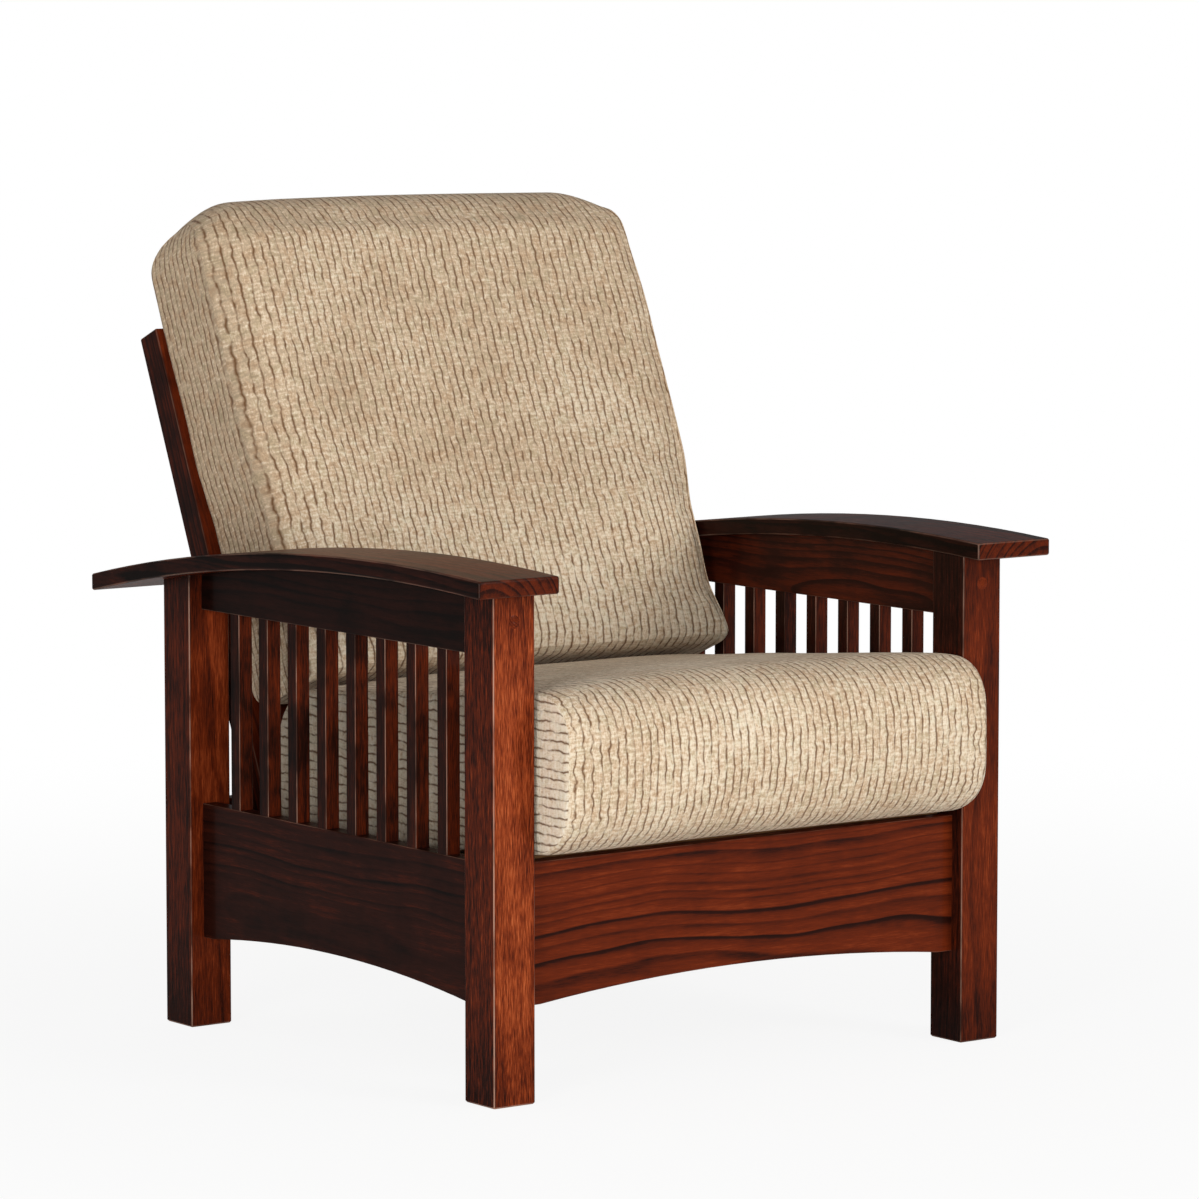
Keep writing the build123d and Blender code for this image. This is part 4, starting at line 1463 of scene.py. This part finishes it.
@dataclass
class Studio:
    """Pale floor, white surroundings, soft lamps and the camera.

    ambient and reflected are the surroundings' strength for the chair's light and for its gloss.
    lit_share and lit_run are how white the camera sees the floor at the chair, and how far from
    it the floor turns wholly white.
    """

    ambient: float = 0.4
    reflected: float = 0.24
    lit_share: float = 0.89
    lit_run: Point = (0.5, 2.6)
    floor_half: float = 30.0
    lamps: tuple[Lamp, ...] = (
        Lamp("key", (2.0, -4.9, 2.1), 1.8, 94.0),
        Lamp("fill", (-5.2, -3.2, 1.9), 1.6, 112.0),
        Lamp("low_fill", (-3.0, -5.1, 0.75), 1.4, 90.0),
    )
    lamps_aim: Place = (0.0, 0.0, 0.45)
    lens: float = 174.07
    sensor: float = 36.0
    shift: Point = (0.0015, -0.01186)
    farthest: float = 200.0
    camera_place: Place = (-4.0473, -5.5626, 1.2663)
    camera_turn: Place = (83.89, 0.0, -36.47)

    def seen(self, tree: Tree) -> tuple[Node, bpy.types.NodeOutputs]:
        """What the camera sees, straight or through something clear.

        Args:
            tree: the node tree.

        Returns:
            A node that gives 1 for such rays, and the outputs that tell the kinds of ray apart.
        """
        rays = add_node(tree, "LightPath").outputs
        inputs = {0: rays["Is Camera Ray"], 1: rays["Is Transmission Ray"]}
        return add_node(tree, "Math", inputs, operation="MAXIMUM"), rays

    def surroundings(self) -> None:
        """White where the camera looks past the chair, softer where it lights the chair."""
        world = bpy.data.worlds.new("white_room")
        world.use_nodes = True
        tree = world.node_tree
        tree.nodes.clear()
        seen, rays = self.seen(tree)
        lit = added_up(tree, self.ambient, (rays["Is Glossy Ray"], self.reflected - self.ambient))
        strength = add_node(tree, "Math", {0: seen, 1: lit}, operation="MAXIMUM")
        background = add_node(tree, "Background", {"Color": linear("FFFFFF"), "Strength": strength})
        add_node(tree, "OutputWorld", {"Surface": background})
        bpy.context.scene.world = world

    def floor(self) -> None:
        """Pale matt floor that keeps a soft shadow and runs into the white behind."""
        material, tree = new_material("pale_floor")
        paint = {"Base Color": linear("F4F3F1"), "Roughness": 0.9, "Specular IOR Level": 0.1}
        surface = add_node(tree, "BsdfPrincipled", paint)
        white = add_node(tree, "Emission", {"Color": linear("FFFFFF"), "Strength": 1.0})
        place = add_node(tree, "TexCoord").outputs["Object"]
        away = add_node(tree, "VectorMath", {0: place}, operation="LENGTH").outputs["Value"]
        start, end = self.lit_run
        share = add_node(
            tree, "MapRange", {"Value": away, "From Min": start, "From Max": end, "To Min": self.lit_share},
            interpolation_type="SMOOTHSTEP",
        )
        share = add_node(tree, "Math", {0: self.seen(tree)[0], 1: share}, operation="MULTIPLY")
        mix = add_node(tree, "MixShader", {0: share, 1: surface, 2: white})
        add_node(tree, "OutputMaterial", {"Surface": mix})
        data = bpy.data.meshes.new("floor")
        size = self.floor_half
        corners = [(-size, -size, 0), (size, -size, 0), (size, size, 0), (-size, size, 0)]
        data.from_pydata(corners, [], [(0, 1, 2, 3)])
        data.materials.append(material)
        floor = bpy.data.objects.new("floor", data)
        bpy.context.scene.collection.objects.link(floor)

    def light(self) -> None:
        """Hang the lamps, which all look at the chair."""
        for lamp in self.lamps:
            data = bpy.data.lights.new(lamp.name, "AREA")
            data.shape, data.size, data.energy = "SQUARE", lamp.size, lamp.power
            hung = bpy.data.objects.new(lamp.name, data)
            hung.location = lamp.place
            away = Vector(lamp.place) - Vector(self.lamps_aim)
            hung.rotation_euler = away.to_track_quat("Z", "Y").to_euler()
            bpy.context.scene.collection.objects.link(hung)

    def camera(self) -> None:
        """Long lens, low and to the chair's left front, as in the photograph."""
        data = bpy.data.cameras.new("camera")
        data.lens, data.sensor_width, data.clip_end = self.lens, self.sensor, self.farthest
        data.shift_x, data.shift_y = self.shift
        camera = bpy.data.objects.new("camera", data)
        camera.location = self.camera_place
        camera.rotation_euler = [math.radians(turn) for turn in self.camera_turn]
        bpy.context.scene.collection.objects.link(camera)
        bpy.context.scene.camera = camera

    def build(self) -> None:
        """Set up the studio."""
        self.surroundings()
        self.floor()
        self.light()
        self.camera()
        bpy.context.scene.view_settings.view_transform = "Standard"
        LOG.info("studio ready")


def main() -> None:
    """Load the frame, dress it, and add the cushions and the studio."""
    logging.basicConfig(level=logging.INFO, format="%(name)s: %(message)s")
    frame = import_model()
    nodes = frame["nodes"]
    LegFrame(nodes).build()
    SlattedSides(nodes).build()
    BackFrame(nodes).build()
    SeatCushion().build()
    BackCushion().build()
    Studio().build()


if __name__ == "__main__":
    main()
